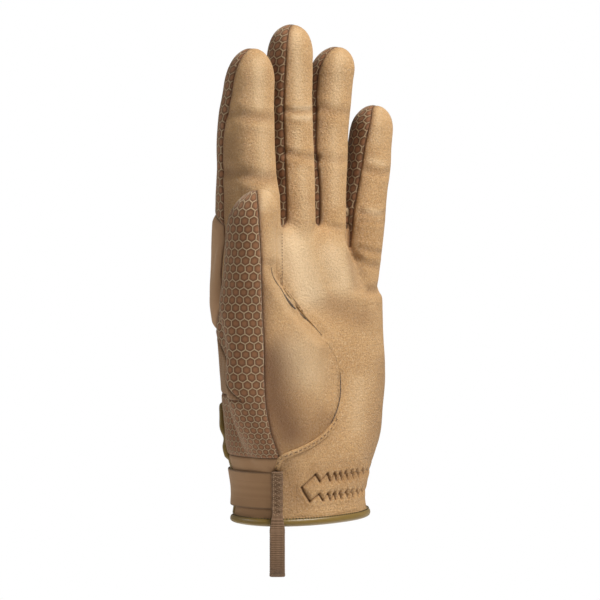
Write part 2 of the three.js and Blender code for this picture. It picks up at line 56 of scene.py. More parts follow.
camera.rotation_euler = look.to_track_quat("-Z", "Y").to_euler()
bpy.context.scene.collection.objects.link(camera)
bpy.context.scene.camera = camera

# The sewn shell: the shape that the leather, mesh and cloth panels take together on a hand, five digits and
# the hand itself, blended into one skin. Every panel is cut from this skin, so neighbours meet exactly at
# their seams, as sewn pieces do. Sizes are in millimetres.
VOXEL = 0.8
SOFTNESS = 0.5      # how far one round of smoothing draws a point towards its neighbours
# The fingers: z, x and y of the middle, half width, half depth
FINGERS = {
    "index": [(84, -28, 3, 8, 10), (93, -28, 3, 12, 17), (115, -29.6, 1.2, 11.2, 16.6),
              (137, -31, -0.5, 10.7, 15.2), (148, -31.9, -0.8, 10.7, 13.3), (159, -32.6, -1.2, 10.7, 12.8),
              (171, -32.8, -2, 10.5, 11.8), (182, -32.6, -3.2, 10, 10.3)],
    "middle": [(95, -9, 2, 9.5, 14), (115, -9.2, 1, 10, 15), (137, -9.4, 0, 10, 14.3),
               (159, -9.7, -0.8, 10.1, 12.2), (171, -10.4, -1.6, 10, 11.4), (182, -10.6, -2.8, 9.8, 10.1),
               (195, -10.8, -4.3, 9.4, 9.3)],
    "ring": [(95, 10, 3, 9.5, 13), (115, 10.2, 2.2, 9.8, 14), (137, 10.4, 1.5, 9.8, 13.6),
             (148, 10.9, 1, 9.9, 12.7), (159, 11.1, 0, 10, 11.7), (171, 11.8, -1.2, 9.8, 10.9),
             (187, 13, -3.5, 9.4, 9.6)],
    "little": [(88, 27, -1, 8.5, 11), (110, 28, -3, 9.3, 12.2), (127, 29.2, -4.5, 9.3, 11.8),
               (137, 30.5, -5, 9.3, 11.1), (148, 32.1, -5.8, 9.2, 10.2), (163, 33.2, -7.2, 8.9, 9.1)]}
TIPS = {"index": (199, -32.9, -5.5), "middle": (209.5, -11.3, -6), "ring": (200.6, 13.7, -6.5),
        "little": (176, 33.6, -9), "thumb": (141, -43.5, -22.5), "side": (98, -35, -6)}
# The thumb with its ball: the same, and the squareness of each section
THUMB = [(19, -16, -6, 14, 9, 2.2), (30, -18, -9, 18, 11, 2.2), (45, -22, -11, 24, 11.5, 2.1),
         (60, -26, -13, 26, 12, 2), (77, -29, -15.5, 25, 13, 1.8), (90, -38, -16, 19, 12, 2),
         (97, -41, -17, 16, 12, 2.2), (106, -46.5, -19.5, 10.6, 10.5, 2.2),
         (118, -46.8, -20.3, 10, 10.2, 2.2), (128, -46.5, -21.2, 9.8, 9.8, 2.2)]
# The hand: z, x of the middle, half width, depth to the palm, depth to the knuckles, squareness
HAND = [(-8, -0.9, 31.6, 22.6, 22.6, 2.2), (0, -0.9, 31.6, 22.6, 22.6, 2.2),
        (12, -1.1, 29.8, 22.6, 22.6, 2.2), (21, -0.3, 32.6, 22.4, 22.4, 2.2),
        (25, 0.2, 34.8, 22.1, 22.1, 2.2), (33.6, 0.8, 38.2, 21.5, 21.5, 2.3),
        (42, 1.3, 39.6, 20.5, 20.5, 2.4), (59, 1.2, 42, 18.6, 18.6, 2.5), (76, 0, 42.6, 18, 18.4, 2.5),
        (93, -1.3, 43.2, 17, 20.5, 2.6), (102, -1.3, 42.8, 16, 19, 2.6), (110, -1, 42.3, 15.5, 17, 2.6),
        (116, -1, 41.4, 15, 14, 2.6), (120, -1, 40.2, 14, 11, 2.6), (123.5, -1, 39.2, 12.5, 8.5, 2.6),
        (126, -1, 37.5, 9, 5, 2.6)]
# The hand's side between the thumb and the index finger, as the thumb
SIDE = [(24, -18, -2, 12, 12, 2.2), (45, -25.5, -3, 13.5, 14, 2.2), (60, -29.5, -4, 13.3, 14, 2.2),
        (77, -31.5, -5, 12.5, 13, 2.2), (88, -33, -5, 11, 11, 2.2)]
FINGER_POWER, TIP_POWER = 2.3, 2.3      # the squareness of a finger's section and of its tip
TIP_LENGTH = 1.6                        # how much of a grid's length its tip takes, against its height
RING_COLUMNS, DIGIT_ROWS = 48, 90
PALM_COLUMNS, PALM_ROWS = 96, 120
# Across the hand, and how far its top falls there
TOP_FALL = [0, 13, 20, 24, 40], [0, 3.5, 16, 18, 20]


def measure_at(rows, which, z):
    """One measure of a digit or the hand at heights z, on a smooth curve through its rows"""
    at, value = np.array([r[0] for r in rows], float), np.array([r[which] for r in rows], float)
    rise = np.diff(value) / np.diff(at)
    joint = rise[1:] * rise[:-1]
    total = np.where(joint > 0, rise[1:] + rise[:-1], 1)
    slope = np.concatenate([rise[:1], np.where(joint > 0, 2 * joint / total, 0), rise[-1:]])
    z = np.clip(z, at[0], at[-1])
    i = np.clip(np.searchsorted(at, z, side="right") - 1, 0, len(at) - 2)
    h = at[i + 1] - at[i]
    t = (z - at[i]) / h
    return ((1 + 2 * t) * (1 - t) ** 2 * value[i] + t * (1 - t) ** 2 * h * slope[i]
            + t * t * (3 - 2 * t) * value[i + 1] + t * t * (t - 1) * h * slope[i + 1])


def smoothstep(x, low, high):
    """0 below low, 1 above high, and an even ease between them"""
    t = np.clip((np.asarray(x, float) - low) / (high - low), 0, 1)
    return t * t * (3 - 2 * t)


def knuckle_drop(x, z):
    """How far the hand's top falls towards the little finger"""
    return np.interp(x, *TOP_FALL) * smoothstep(z, 90, 118)


def rolled_sheet(columns, rows, place):
    """A grid sheet, each point put where place(u, v) says for u and v from 0 to 1, then closed"""
    bm = bmesh.new()
    bmesh.ops.create_grid(bm, x_segments=columns, y_segments=rows, size=1)
    for v in bm.verts:
        v.co = Vector(place((v.co.x + 1) / 2, (v.co.y + 1) / 2)) * MM
    bmesh.ops.remove_doubles(bm, verts=bm.verts, dist=1e-6)
    bmesh.ops.holes_fill(bm, edges=[e for e in bm.edges if e.is_boundary], sides=0)
    bmesh.ops.recalc_face_normals(bm, faces=bm.faces)
    for f in bm.faces:
        f.smooth = True
    return bm


def oval(turn, across, deep, power):
    """A point on a squared oval, turn from the palm's side towards the little finger"""
    s, c = math.sin(turn), math.cos(turn)
    return (math.copysign(abs(s) ** (2 / power), s) * across,
            -math.copysign(abs(c) ** (2 / power), c) * deep)


def digit(name, rows):
    """A finger or the thumb, rolled round its table and closed at its tip"""
    tip_z, tip_x, tip_y = TIPS[name]
    low, high = rows[0][0], rows[-1][0]
    body = (high - low) / (high - low + TIP_LENGTH * (tip_z - high))

    def place(u, v):
        t = max(0.0, (v - body) / (1 - body))
        t = math.sin(t * math.pi / 2)
        z = low + (high - low) * min(v / body, 1)
        x, y, across, deep = (float(measure_at(rows, i, z)) for i in (1, 2, 3, 4))
        power = float(measure_at(rows, 5, z)) if len(rows[0]) > 5 else FINGER_POWER
        shrink = math.sqrt(max(0.0, 1 - t ** TIP_POWER))
        dx, dy = oval(u * 2 * math.pi, across * shrink, deep * shrink, power)
        return (x + (tip_x - x) * t + dx, y + (tip_y - y) * t + dy, z + (tip_z - high) * t)
    return rolled_sheet(RING_COLUMNS, DIGIT_ROWS, place)


def palm_block():
    """The hand from the cuff to the knuckles"""
    def place(u, v):
        z = HAND[0][0] + (HAND[-1][0] - HAND[0][0]) * v
        x, across, front, back, power = (float(measure_at(HAND, i, z)) for i in (1, 2, 3, 4, 5))
        turn = u * 2 * math.pi
        dx, dy = oval(turn, across, front if math.cos(turn) > 0 else back, power)
        return (x + dx, dy, z - float(knuckle_drop(x + dx, z)))
    return rolled_sheet(PALM_COLUMNS, PALM_ROWS, place)


def glove_piece(name, bm):
    """A new piece of the scene from a mesh that is ready"""
    mesh = bpy.data.meshes.new(name)
    bm.to_mesh(mesh)
    bm.free()
    piece = bpy.data.objects.new(name, mesh)
    bpy.context.scene.collection.objects.link(piece)
    return piece


blocks = bmesh.new()
rolls = [palm_block(), digit("thumb", THUMB), digit("side", SIDE)]
for roll in rolls + [digit(name, rows) for name, rows in FINGERS.items()]:
    scrap = bpy.data.meshes.new("scrap")
    roll.to_mesh(scrap)
    roll.free()
    blocks.from_mesh(scrap)
    bpy.data.meshes.remove(scrap)
skin_object = glove_piece("skin", blocks)
remesh = skin_object.modifiers.new("remesh", "REMESH")
remesh.mode, remesh.voxel_size = "VOXEL", VOXEL * MM
graph = bpy.context.evaluated_depsgraph_get()
blended = bpy.data.meshes.new_from_object(skin_object.evaluated_get(graph), depsgraph=graph)
skin = bmesh.new()
skin.from_mesh(blended)
bpy.data.objects.remove(skin_object)
bpy.data.meshes.remove(blended)


def ease(verts, rounds):
    """Draw points of the skin softly towards their neighbours"""
    for _ in range(rounds):
        bmesh.ops.smooth_vert(skin, verts=verts, factor=SOFTNESS,
                              use_axis_x=True, use_axis_y=True, use_axis_z=True)


def points_of(bm):
    """Every point of a mesh, in millimetres"""
    return np.array([v.co for v in bm.verts]) / MM


# The crotches between the fingers and at the thumb are eased more than the rest
ease(skin.verts, 5)
x, y, z = points_of(skin).T
near_crotches = (np.abs(z - (125 - knuckle_drop(x, 200))) < 6) & (np.abs(x) < 36)
near_crotches |= (np.abs(z - 98) < 9) & (np.hypot(x + 34, y + 14) < 14)
skin.verts.ensure_lookup_table()
ease([skin.verts[i] for i in np.flatnonzero(near_crotches)], 8)

# The ball of the thumb runs softly into the palm
x, y, z = points_of(skin).T
near_thumb = (y < 2) & (z > 12) & (z < 94) & (x > -34) & (x < 24)
ease([skin.verts[i] for i in np.flatnonzero(near_thumb)], 60)

# The cut of the panels: each seam is a line where a function of place is zero. Leather meets mesh and cloth
# at the side seams, the fold round the thumb and the finger bases. The skin gets new edges along every seam,
# and each face then belongs to one panel.
# Three seams of the palm side, as seen: height, millimetres right of the middle
THUMB_FOLD = [(-4, -10.6), (20, -10.7), (23.4, -10.6), (27.6, -6.4), (32.3, 4.2), (38.8, 11.5),
              (45.9, 14.8), (51.9, 16.3), (59.1, 16.3), (65.5, 15.1), (71.8, 12.3), (77.4, 7.7),
              (85.4, 1.3), (91.4, -4), (95, -6), (99, -6.6)]
INDEX_SEAM = [(96, -8.3), (110, -8.5), (118, -8.5), (124, -7.6)]
THUMB_SEAM = [(22, -8.6), (27, -9.9), (37.5, -13.3), (52.8, -15.6), (76, -16.2), (93, -16.9), (114, -17.5),
              (135.6, -19), (142, -19.8)]
# The seam behind the thumb: height, x, y, and the way across it; the vent: height, degrees round the wrist,
# width; the patch: y and z of its corners
BACK_SEAM = [(-2, -25.5, 15.8, -0.743, 0.669), (47, -31.5, 13, -0.743, 0.669), (60, -35.5, 11, -0.8, 0.6),
             (80, -38.5, 8.5, -0.9, 0.43), (93, -43, 0, -1, 0), (102.5, -43, -9, -1, 0)]
VENT = [(-9, -122, 8.2), (12, -119, 7.6), (27, -115, 6.4), (40, -113, 3.6), (48.6, -112, 0)]
PATCH = [(-17, 54), (20, 55.5), (9, 79.5)]
VENT_ROOM = 0.6         # between the cut edges of the vent and its binding
CUFF_TOP, KNUCKLE_LOW, HEM = 28.9, 82, 1.0
THUMB_TOP = 97.5        # above this the thumb stands free
THUMB_SKIN = 1.12       # the thumb's own section and a little more
THUMB_POWER = 2.2
FINGER_LOW = 104        # where the side seams of the fingers start
FOLD_MEETS_SIDE = 92.7  # where the thumb fold runs into the side seam
RIGHT_LOW = 85          # where the side seam of the little finger becomes the hand's
PARTING_TOP = 175
WRIST_RADIUS = 29
SCRAP = 60              # fewest faces of a panel that stay apart
# How far in front of a finger's middle its side seams run, as a share of its depth: height, share
LEFT_SEAMS = {"index": [(104, 0.03), (120, -0.1), (130, -0.25), (150, -0.25), (164, -0.2), (177, 0.03),
                        (199, 0.1)],
              "middle": [(104, 0.65), (209, 0.65)],
              "ring": [(104, 0.72), (138, 0.69), (148, 0.62), (159, 0.5), (170, 0.42), (180, 0.25),
                       (191, 0.12)],
              "little": [(104, 0.45), (131, 0.42), (159, 0.58), (171, 0.77)]}
RIGHT_SEAMS = {"index": [(104, 0.7), (199, 0.5)], "middle": [(104, 0.7), (209, 0.5)],
               "ring": [(104, 0.7), (200, 0.5)], "little": [(104, 0.03), (176, 0.1)]}


def edge_of_finger(name, side, z):
    """Where a side seam of a finger runs: x and y at height z"""
    x, y, across, deep = (measure_at(FINGERS[name], i, z) for i in (1, 2, 3, 4))
    high, (tip_z, tip_x, tip_y) = FINGERS[name][-1][0], TIPS[name]
    t = np.clip((z - high) / (tip_z - high), 0, 1)
    share = np.interp(z, *zip(*(LEFT_SEAMS if side < 0 else RIGHT_SEAMS)[name]))
    return (x + (tip_x - x) * t + side * across,
            y + (tip_y - y) * t - share * deep * np.sqrt(1 - t ** TIP_POWER))


def seen(p):
    """Where the camera sees a place: millimetres right of the middle, and above the hem"""
    side = look.cross(Vector((0, 0, 1))).normalized()
    up = side.cross(look)
    away = p - np.array(TARGET)
    near = DISTANCE / (DISTANCE + away @ np.array(look))
    return away @ np.array(side) * near + TARGET @ side, away @ np.array(up) * near + TARGET.z


def side_seam(p):
    """How far behind the side seam, where the leather of the palm side meets the back"""
    x, y, z = p.T
    high = np.maximum(z, FINGER_LOW)
    corners = [edge_of_finger(name, side, high) for name in FINGERS for side in (-1, 1)]
    line = np.array(corners[0][1])
    for (x0, y0), (x1, y1) in zip(corners, corners[1:]):
        t = np.clip((x - x0) / np.maximum(x1 - x0, 0.5), 0, 1)
        line = np.where(x > x0, y0 + (y1 - y0) * t, line)
    low_left = np.interp(z, [FOLD_MEETS_SIDE, FINGER_LOW], [0, 1])
    low_right = np.interp(z, [RIGHT_LOW, FINGER_LOW], [0, 1])
    line = np.where(x < -18, line * low_left, line)
    line = np.where(x > 12, 2 + (line - 2) * low_right, line)
    return y - line


def thumb_section(p):
    """1 on the thumb's own surface, more outside it"""
    z = np.minimum(p[:, 2], THUMB[-1][0])
    x, y, across, deep = (measure_at(THUMB, i, z) for i in (1, 2, 3, 4))
    shares = np.abs((p[:, 0] - x) / across) ** THUMB_POWER, np.abs((p[:, 1] - y) / deep) ** THUMB_POWER
    return (shares[0] + shares[1]) ** (1 / THUMB_POWER)


def back_seam(p):
    """How far behind the seam between the thumb's mesh and the back of the hand"""
    x, y, out_x, out_y = (np.interp(p[:, 2], [r[0] for r in BACK_SEAM], [r[i] for r in BACK_SEAM])
                          for i in (1, 2, 3, 4))
    return (p[:, 0] - x) * out_y - (p[:, 1] - y) * out_x


def thumb_seam(p):
    """How far to the leather side of the seam up the thumb"""
    u, h = seen(p)
    return u - measure_at(THUMB_SEAM, 1, h)


def thumb_fold(p):
    """How far to the palm's side of the fold round the ball of the thumb"""
    u, h = seen(p)
    return u - measure_at(THUMB_FOLD, 1, h)


def index_seam(p):
    """How far to the palm's side of the seam below the index finger"""
    u, h = seen(p)
    return u - measure_at(INDEX_SEAM, 1, h)


def finger_base(p):
    """How far above the seam at the finger bases, on the back"""
    crotch = 122.5 - np.interp(p[:, 0], [0, 20, 40], [0, 9, 16])
    return p[:, 2] - (crotch - 2 + (np.maximum(p[:, 1], -14) + 8) * 0.45)


def parting(i):
    """Between two neighbouring fingers"""
    left, right = list(FINGERS)[i:i + 2]

    def away(p):
        z = np.clip(p[:, 2], FINGER_LOW, PARTING_TOP)
        return p[:, 0] - (edge_of_finger(left, 1, z)[0] + edge_of_finger(right, -1, z)[0]) / 2
    return away


def wrist_turn(p):
    """Degrees about the wrist from the palm's side towards the little finger"""
    x = measure_at(HAND, 1, p[:, 2])
    return np.degrees(np.arctan2(p[:, 0] - x, -p[:, 1]))


def vent_edge(p):
    """Outside the wrist vent, in millimetres"""
    middle, width = (np.interp(p[:, 2], [r[0] for r in VENT], [r[i] for r in VENT]) for i in (1, 2))
    side = np.abs(wrist_turn(p) - middle) * math.pi / 180 * WRIST_RADIUS
    return side - width / 2 - VENT_ROOM


def patch_edge(p):
    """Outside the patch over the vent"""
    away = []
    for (y0, z0), (y1, z1) in zip(PATCH, PATCH[1:] + PATCH[:1]):
        length = math.hypot(y1 - y0, z1 - z0)
        away.append(((p[:, 1] - y0) * (z1 - z0) - (p[:, 2] - z0) * (y1 - y0)) / length)
    return np.max(away, axis=0)


def cut(bm, seam, near):
    """New edges along a seam, on the part of the skin where near(places) holds"""
    bm.verts.index_update()
    bm.verts.ensure_lookup_table()
    bm.edges.ensure_lookup_table()
    p = points_of(bm)
    value = np.where(near(p), seam(p), np.nan)
    ends = np.array([[v.index for v in e.verts] for e in bm.edges])
    for _ in range(2):
        a, b = value[ends[:, 0]], value[ends[:, 1]]
        with np.errstate(invalid="ignore", divide="ignore"):
            t = a / (a - b)
            crossed = a * b < 0
        for k in np.flatnonzero(crossed & ((t < 0.25) | (t > 0.75))):
            i, j = ends[k] if t[k] < 0.25 else ends[k][::-1]
            if value[i] == 0 or value[j] == 0:
                continue
            share = t[k] if t[k] < 0.25 else 1 - t[k]
            bm.verts[i].co = bm.verts[i].co.lerp(bm.verts[j].co, share)
            value[i] = 0
    a, b = value[ends[:, 0]], value[ends[:, 1]]
    with np.errstate(invalid="ignore"):
        crossed = np.flatnonzero(a * b < 0)
    marked = [bm.verts[i] for i in np.flatnonzero(value == 0)]
    work = [(bm.edges[k], bm.verts[ends[k][0]], a[k] / (a[k] - b[k])) for k in crossed]
    for edge, start, share in work:
        marked.append(bmesh.utils.edge_split(edge, start, float(share))[1])
    bmesh.ops.connect_verts(bm, verts=marked)


def free_thumb(p):
    """Whether a place is on the thumb, above where it leaves the hand"""
    return (p[:, 2] > THUMB_TOP) & (thumb_section(p) < THUMB_SKIN)


# The hem is cut level; after it each seam is cut only on the part of the skin where it runs
bmesh.ops.bisect_plane(skin, geom=skin.verts[:] + skin.edges[:] + skin.faces[:], dist=1e-7,
                       plane_co=(0, 0, HEM * MM), plane_no=(0, 0, 1), clear_inner=True)
cut(skin, vent_edge, lambda p: (p[:, 0] < -10) & (p[:, 1] > 0) & (p[:, 2] < 50))
cut(skin, lambda p: p[:, 2] - CUFF_TOP, lambda p: (thumb_fold(p) < 2) | (p[:, 1] > 0))
cut(skin, patch_edge, lambda p: (p[:, 0] < -17) & (p[:, 2] > 48) & (p[:, 2] < 80))
cut(skin, lambda p: thumb_section(p) - THUMB_SKIN,
    lambda p: (p[:, 2] > THUMB_TOP) & (p[:, 2] < 112) & (p[:, 0] > -62) & (p[:, 0] < -15))
cut(skin, back_seam, lambda p: (p[:, 0] < -15) & (p[:, 1] > -13) & (p[:, 2] < FINGER_LOW))
cut(skin, thumb_fold, lambda p: (p[:, 2] < THUMB_TOP + 1) & (p[:, 1] < 0) & (p[:, 0] > -36))
cut(skin, thumb_seam, lambda p: (p[:, 0] < -15) & ((p[:, 2] > 99) & free_thumb(p)
                                                   | (p[:, 1] < -8) & (p[:, 2] < 99)))
cut(skin, side_seam, lambda p: ((p[:, 2] > 103) | (p[:, 0] > 12)
                                | (p[:, 0] < -18) & (p[:, 2] > 92)) & ~free_thumb(p))
cut(skin, index_seam, lambda p: (p[:, 2] > 95) & (p[:, 2] < 130) & (p[:, 1] < -2) & ~free_thumb(p))
cut(skin, finger_base, lambda p: (side_seam(p) > -0.5) & (p[:, 2] > 95))
for i in range(3):
    cut(skin, parting(i), lambda p: (side_seam(p) > -0.5) & (p[:, 2] > 100) & (p[:, 2] < 140))
cut(skin, lambda p: p[:, 2] - KNUCKLE_LOW, lambda p: (p[:, 1] > 0) & (p[:, 0] > -46))

PANELS = ["palm_panel", "index_panel", "thumb_panel", "thumb_mesh", "index_back", "middle_back",
          "ring_back", "little_back", "knuckle_panel", "back_mesh", "back_patch", "cuff_band_outer",
          "cuff_band_back", "open"]


def panel_at(p):
    """The panel that covers each place, by its number in PANELS"""
    x, y, z = p.T
    of = PANELS.index
    thumb = np.where(z > THUMB_TOP, thumb_section(p) < THUMB_SKIN,
                     (thumb_fold(p) < 0) & (back_seam(p) < 0))
    thumb &= (z > CUFF_TOP) & (y < 20) & (x < 12)
    upper = finger_base(p) > 0
    finger = of("index_back") + sum((parting(i)(p) > 0).astype(int) for i in range(3))
    low_back = np.where(z > KNUCKLE_LOW, of("knuckle_panel"), of("back_mesh"))
    low_back = np.where(z < CUFF_TOP, of("cuff_band_back"), low_back)
    back = np.where(upper, finger, low_back)
    index_side = (index_seam(p) < 0) & (z > 92) & np.where(z < THUMB_TOP, thumb_fold(p) < 0, True)
    palm = np.where(index_side, of("index_panel"), of("palm_panel"))
    # Left of the fold and under the thumb's mesh the cuff band goes round to the vent
    is_front = np.where((x < -18) & (z < FOLD_MEETS_SIDE), (thumb_fold(p) > 0) & (y < 0),
                        side_seam(p) < 0)
    where = np.where(is_front, palm, back)
    where = np.where(thumb, np.where(thumb_seam(p) > 0, of("thumb_panel"), of("thumb_mesh")), where)
    band = (z < CUFF_TOP) & (thumb_fold(p) < 0) & (x < 0)
    middle = np.interp(z, [r[0] for r in VENT], [r[1] for r in VENT])
    side = np.where(wrist_turn(p) < middle, of("cuff_band_back"), of("cuff_band_outer"))
    where = np.where(band, side, where)
    where = np.where(band & (wrist_turn(p) > 0), of("cuff_band_back"), where)
    where = np.where((patch_edge(p) < 0) & (x < -17), of("back_patch"), where)
    return np.where((vent_edge(p) < 0) & (x < -10) & (y > 0) & (z < 49), of("open"), where)


skin.faces.ensure_lookup_table()
middles = np.array([f.calc_center_median() for f in skin.faces]) / MM
for f, n in zip(skin.faces, panel_at(middles)):
    f.material_index = int(n)
    f.smooth = True


def join_scraps(bm, size):
    """A scrap that a seam leaves on the wrong side of it goes to the panel around it"""
    left = set(bm.faces)
    while left:
        stack, island, around = [left.pop()], [], []
        while stack:
            face = stack.pop()
            island.append(face)
            for other in {f for e in face.edges for f in e.link_faces}:
                if other.material_index != face.material_index:
                    around.append(other.material_index)
                elif other in left:
                    left.remove(other)
                    stack.append(other)
        if len(island) < size and around:
            new = max(set(around), key=around.count)
            for face in island:
                face.material_index = new


join_scraps(skin, SCRAP)

# The relief of the shell: each panel rolls under at its seams, the leather has creases where the fingers
# bend, and cloth and leather lie in soft uneven swells over a hand. The shell also carries marks for
# painted shade along its seams and in its creases, for broad strokes of painted shade, and for painted
# highlights.
# A crease has a depth, a width and its points.
CREASES = [
    (0.5, 2.2, [(-31, 172.5), (-21.3, 170.9), (-12, 170)]),
    (0.6, 2.4, [(-32, 147.5), (-22.1, 145.8), (-11, 144.1)]),
    (0.5, 1.3, [(-8, 173.4), (-1.3, 172.9), (5, 173.6)]),
    (0.5, 1.6, [(-8, 156), (-0.9, 154.3), (6, 153)]),
    (0.35, 2.0, [(7, 174.7), (13.6, 173), (20, 172.6)]),
    (0.3, 2.0, [(6.5, 153.4), (12.8, 152.6), (19, 152.6)]),
    (0.3, 1.0, [(11.9, 124.5), (17.4, 123.7)]),
    (0.4, 1.6, [(27, 148.3), (33.2, 146.6), (38, 147.5)]),
    (0.4, 1.2, [(25, 130), (29.8, 128.8), (36, 129.6)]),
    (0.25, 1.2, [(25, 126.7), (35, 126.2)]),
    (0.4, 1.2, [(24.6, 115.2), (29.8, 113.5), (36, 112.6)]),
    (0.4, 1.4, [(23, 110.9), (28.9, 107.5), (35, 106.7)]),
    (0.9, 3.0, [(6.8, 122), (8.1, 114.3), (10.2, 106.7), (11.9, 101)]),
    (0.6, 2.6, [(21.3, 111.8), (22.1, 105.8), (23.4, 99)]),
    (0.3, 2.0, [(-8.1, 120.3), (-7.2, 109.2), (-5.9, 99.5)]),
    (1.2, 8.0, [(1.3, 93.1), (8.5, 91.5), (17, 88)]),
    (0.5, 2.0, [(34, 98.2), (28.1, 96.5)]),
    (0.9, 2.2, [(-13.2, 107.1), (-8.5, 97.3), (-4.3, 90.1), (7.7, 77.4)]),
    (0.35, 1.4, [(16.3, 61.5), (16.2, 52), (14.8, 46), (11.5, 39)])]


def from_line(u, h, line):
    """Distance from a line of points"""
    best = np.full(len(u), 1e9)
    for (u0, h0), (u1, h1) in zip(line, line[1:]):
        du, dh = u1 - u0, h1 - h0
        t = np.clip(((u - u0) * du + (h - h0) * dh) / (du * du + dh * dh), 0, 1)
        best = np.minimum(best, np.hypot(u - u0 - t * du, h - h0 - t * dh))
    return best


# Broad strokes of painted shade on the leather: strength, width and points
PAINTED_SHADES = [(1.0, 9.5, [(-13, 68), (-11.5, 50), (-5, 37)]),
         (0.5, 6.5, [(-4.5, 37), (4, 36), (9, 41)]),
         (0.5, 4.5, [(-17, 96), (-15, 62)]),
         (0.4, 7.0, [(-6, 22), (-3, 9)]),
         (0.4, 5.0, [(36, 66), (33, 45), (29, 26)]),
         (0.35, 6.0, [(6, 19), (26, 20)]),
         (0.45, 5.0, [(-33, 160), (-33, 118)]),
         (0.4, 5.5, [(6, 94), (18, 89), (26, 86)])]
# and broad strokes of painted highlight
SHEENS = [(0.85, 8.0, [(-4, 116), (0, 104), (3, 97)]),
          (0.65, 6.5, [(13, 112), (17, 101)]),
          (0.4, 8.0, [(-2, 72), (3, 62)]),
          (0.5, 3.0, [(-18.5, 194), (-18.5, 176)]),
          (0.35, 3.0, [(-17, 166), (-16.5, 147)]),
          (0.45, 3.0, [(-15, 139), (-17, 133)]),
          (0.45, 2.6, [(-2.5, 206), (-1.5, 179)]),
          (0.65, 1.3, [(-3, 174.8), (3, 174.6)]),
          (0.6, 1.3, [(-3, 170.6), (3, 170.4)]),
          (0.35, 2.4, [(-2, 165), (-2, 158)]),
          (0.3, 2.4, [(0, 148), (1, 128)]),
          (0.4, 2.6, [(16, 196), (14, 177)]),
          (0.3, 2.4, [(13.5, 165), (14, 135)]),
          (0.25, 2.4, [(32.7, 173), (31.9, 161)]),
          (0.4, 1.5, [(29, 152.5), (34, 151)]),
          (0.4, 1.5, [(28, 131), (33, 130)]),
          (0.25, 4.0, [(24, 58), (23, 40)])]
PRESSED, PRESS_WIDTH = 0.55, 1.5       # how a panel rolls under at its seams
SWELLS = [(0.28, 13, (0, 0, 0)), (0.07, 4.5, (7, 3, 1))]      # height, size, and where the noise starts
PADDING = 0.9                          # how far the cloth over the knuckles stands up
LEATHERS = {PANELS.index(name) for name in ("palm_panel", "index_panel", "thumb_panel")}
seam_points = []
for e in skin.edges:
    sides = {f.material_index for f in e.link_faces}
    if len(sides) > 1 and not sides <= LEATHERS:
        a, b = (v.co for v in e.verts)
        seam_points += [a.copy(), (a + b) / 2, b.copy()]
seam_tree = KDTree(len(seam_points))
for i, co in enumerate(seam_points):
    seam_tree.insert(co, i)
seam_tree.balance()
skin.normal_update()
p = points_of(skin)
normals = np.array([v.normal for v in skin.verts])
from_seam = np.array([seam_tree.find(v.co)[2] for v in skin.verts]) / MM
facing = smoothstep(-(normals @ np.array(look)), 0.0, 0.35)
u, h = seen(p)
move = -PRESSED * np.clip(1 - from_seam / PRESS_WIDTH, 0, 1) ** 2
# Painted shade in the shallower creases, beside their relief
crease_shade = np.zeros(len(p))
for depth, width, line in CREASES:
    across = from_line(u, h, line) / width
    reach = np.exp(-across ** 2) * facing
    rim = np.exp(-((across - 2) / 0.9) ** 2) * facing * (width < 3)
    move += depth * (0.4 * rim - reach)
    crease_shade = np.maximum(crease_shade, reach * depth * (depth < 0.7))


def shade_and_highlight(u, h):
    """How much painted shade, and how much painted highlight, the leather takes where the camera sees it"""
    both = []
    for rows in (PAINTED_SHADES, SHEENS):
        spots = [strength * np.exp(-(from_line(u, h, line) / width) ** 2) for strength, width, line in rows]
        both.append(np.max(spots, axis=0))
    return both


# Strokes of painted shade and of painted highlight, where the camera sees each point
painted_shade, pale = shade_and_highlight(u, h)
# The painted highlights lie only on faces turned towards the camera
pale *= facing
slow, quick = (height * np.array([noise.noise(v.co / MM / size + Vector(start)) for v in skin.verts])
               for height, size, start in SWELLS)
move += slow + quick
on_knuckles = panel_at(p) == PANELS.index("knuckle_panel")
move += np.where(on_knuckles, PADDING * smoothstep(from_seam, 0.2, 3.5), 0)
# Marks for the colour: painted shade along the seams (seam narrow, edge wide) and in the creases, strokes of
# painted shade, and painted highlights (pale)
marks = {"seam": np.exp(-(from_seam / 0.5) ** 2), "edge": np.exp(-(from_seam / 1.7) ** 2),
         "crease_shade": crease_shade, "painted_shade": painted_shade, "pale": pale}
for name, values in marks.items():
    layer = skin.verts.layers.float.new(name)
    for v, value in zip(skin.verts, values):
        v[layer] = float(value)
for v, shift in zip(skin.verts, move):
    v.co += v.normal * float(shift) * MM
skin.normal_update()
surface = BVHTree.FromBMesh(skin)

# Under the gathered elastic the palm lies deeper, so that the puffed leather stands on it
GATHER_DIP = 1.6
DIP_HEIGHTS, DIP_DEGREES = (6.2, 7.4, 23.6, 24.8), (-45.5, -43, 81, 84)
p = points_of(skin)
wrist_degrees = wrist_turn(p)
under = p[:, 1] < 6
for value, (start, full, last, end) in ((p[:, 2], DIP_HEIGHTS), (wrist_degrees, DIP_DEGREES)):
    under = under * smoothstep(value, start, full) * smoothstep(-value, -end, -last)
for v, dip in zip(skin.verts, under):
    v.co -= v.normal * float(GATHER_DIP * dip) * MM
skin.normal_update()

# The leather panels: the palm with the fronts of three fingers, the index finger's front and side, and the
# thumb with its ball. Thin synthetic leather with a short nap, cut to the hand and sewn edge to edge; its
# colour carries painted shade in its seams and creases and in broad strokes, and painted highlights.
WALL = 1.1               # how thick the leather and the cloth are
PALM_LIGHT, PALM_DEEP, PALM_SHADE = (198, 154, 100), (184, 139, 84), (104, 64, 32)
THUMB_LIGHT, THUMB_DEEP, THUMB_SHADE = (193, 149, 95), (178, 133, 79), (98, 60, 30)
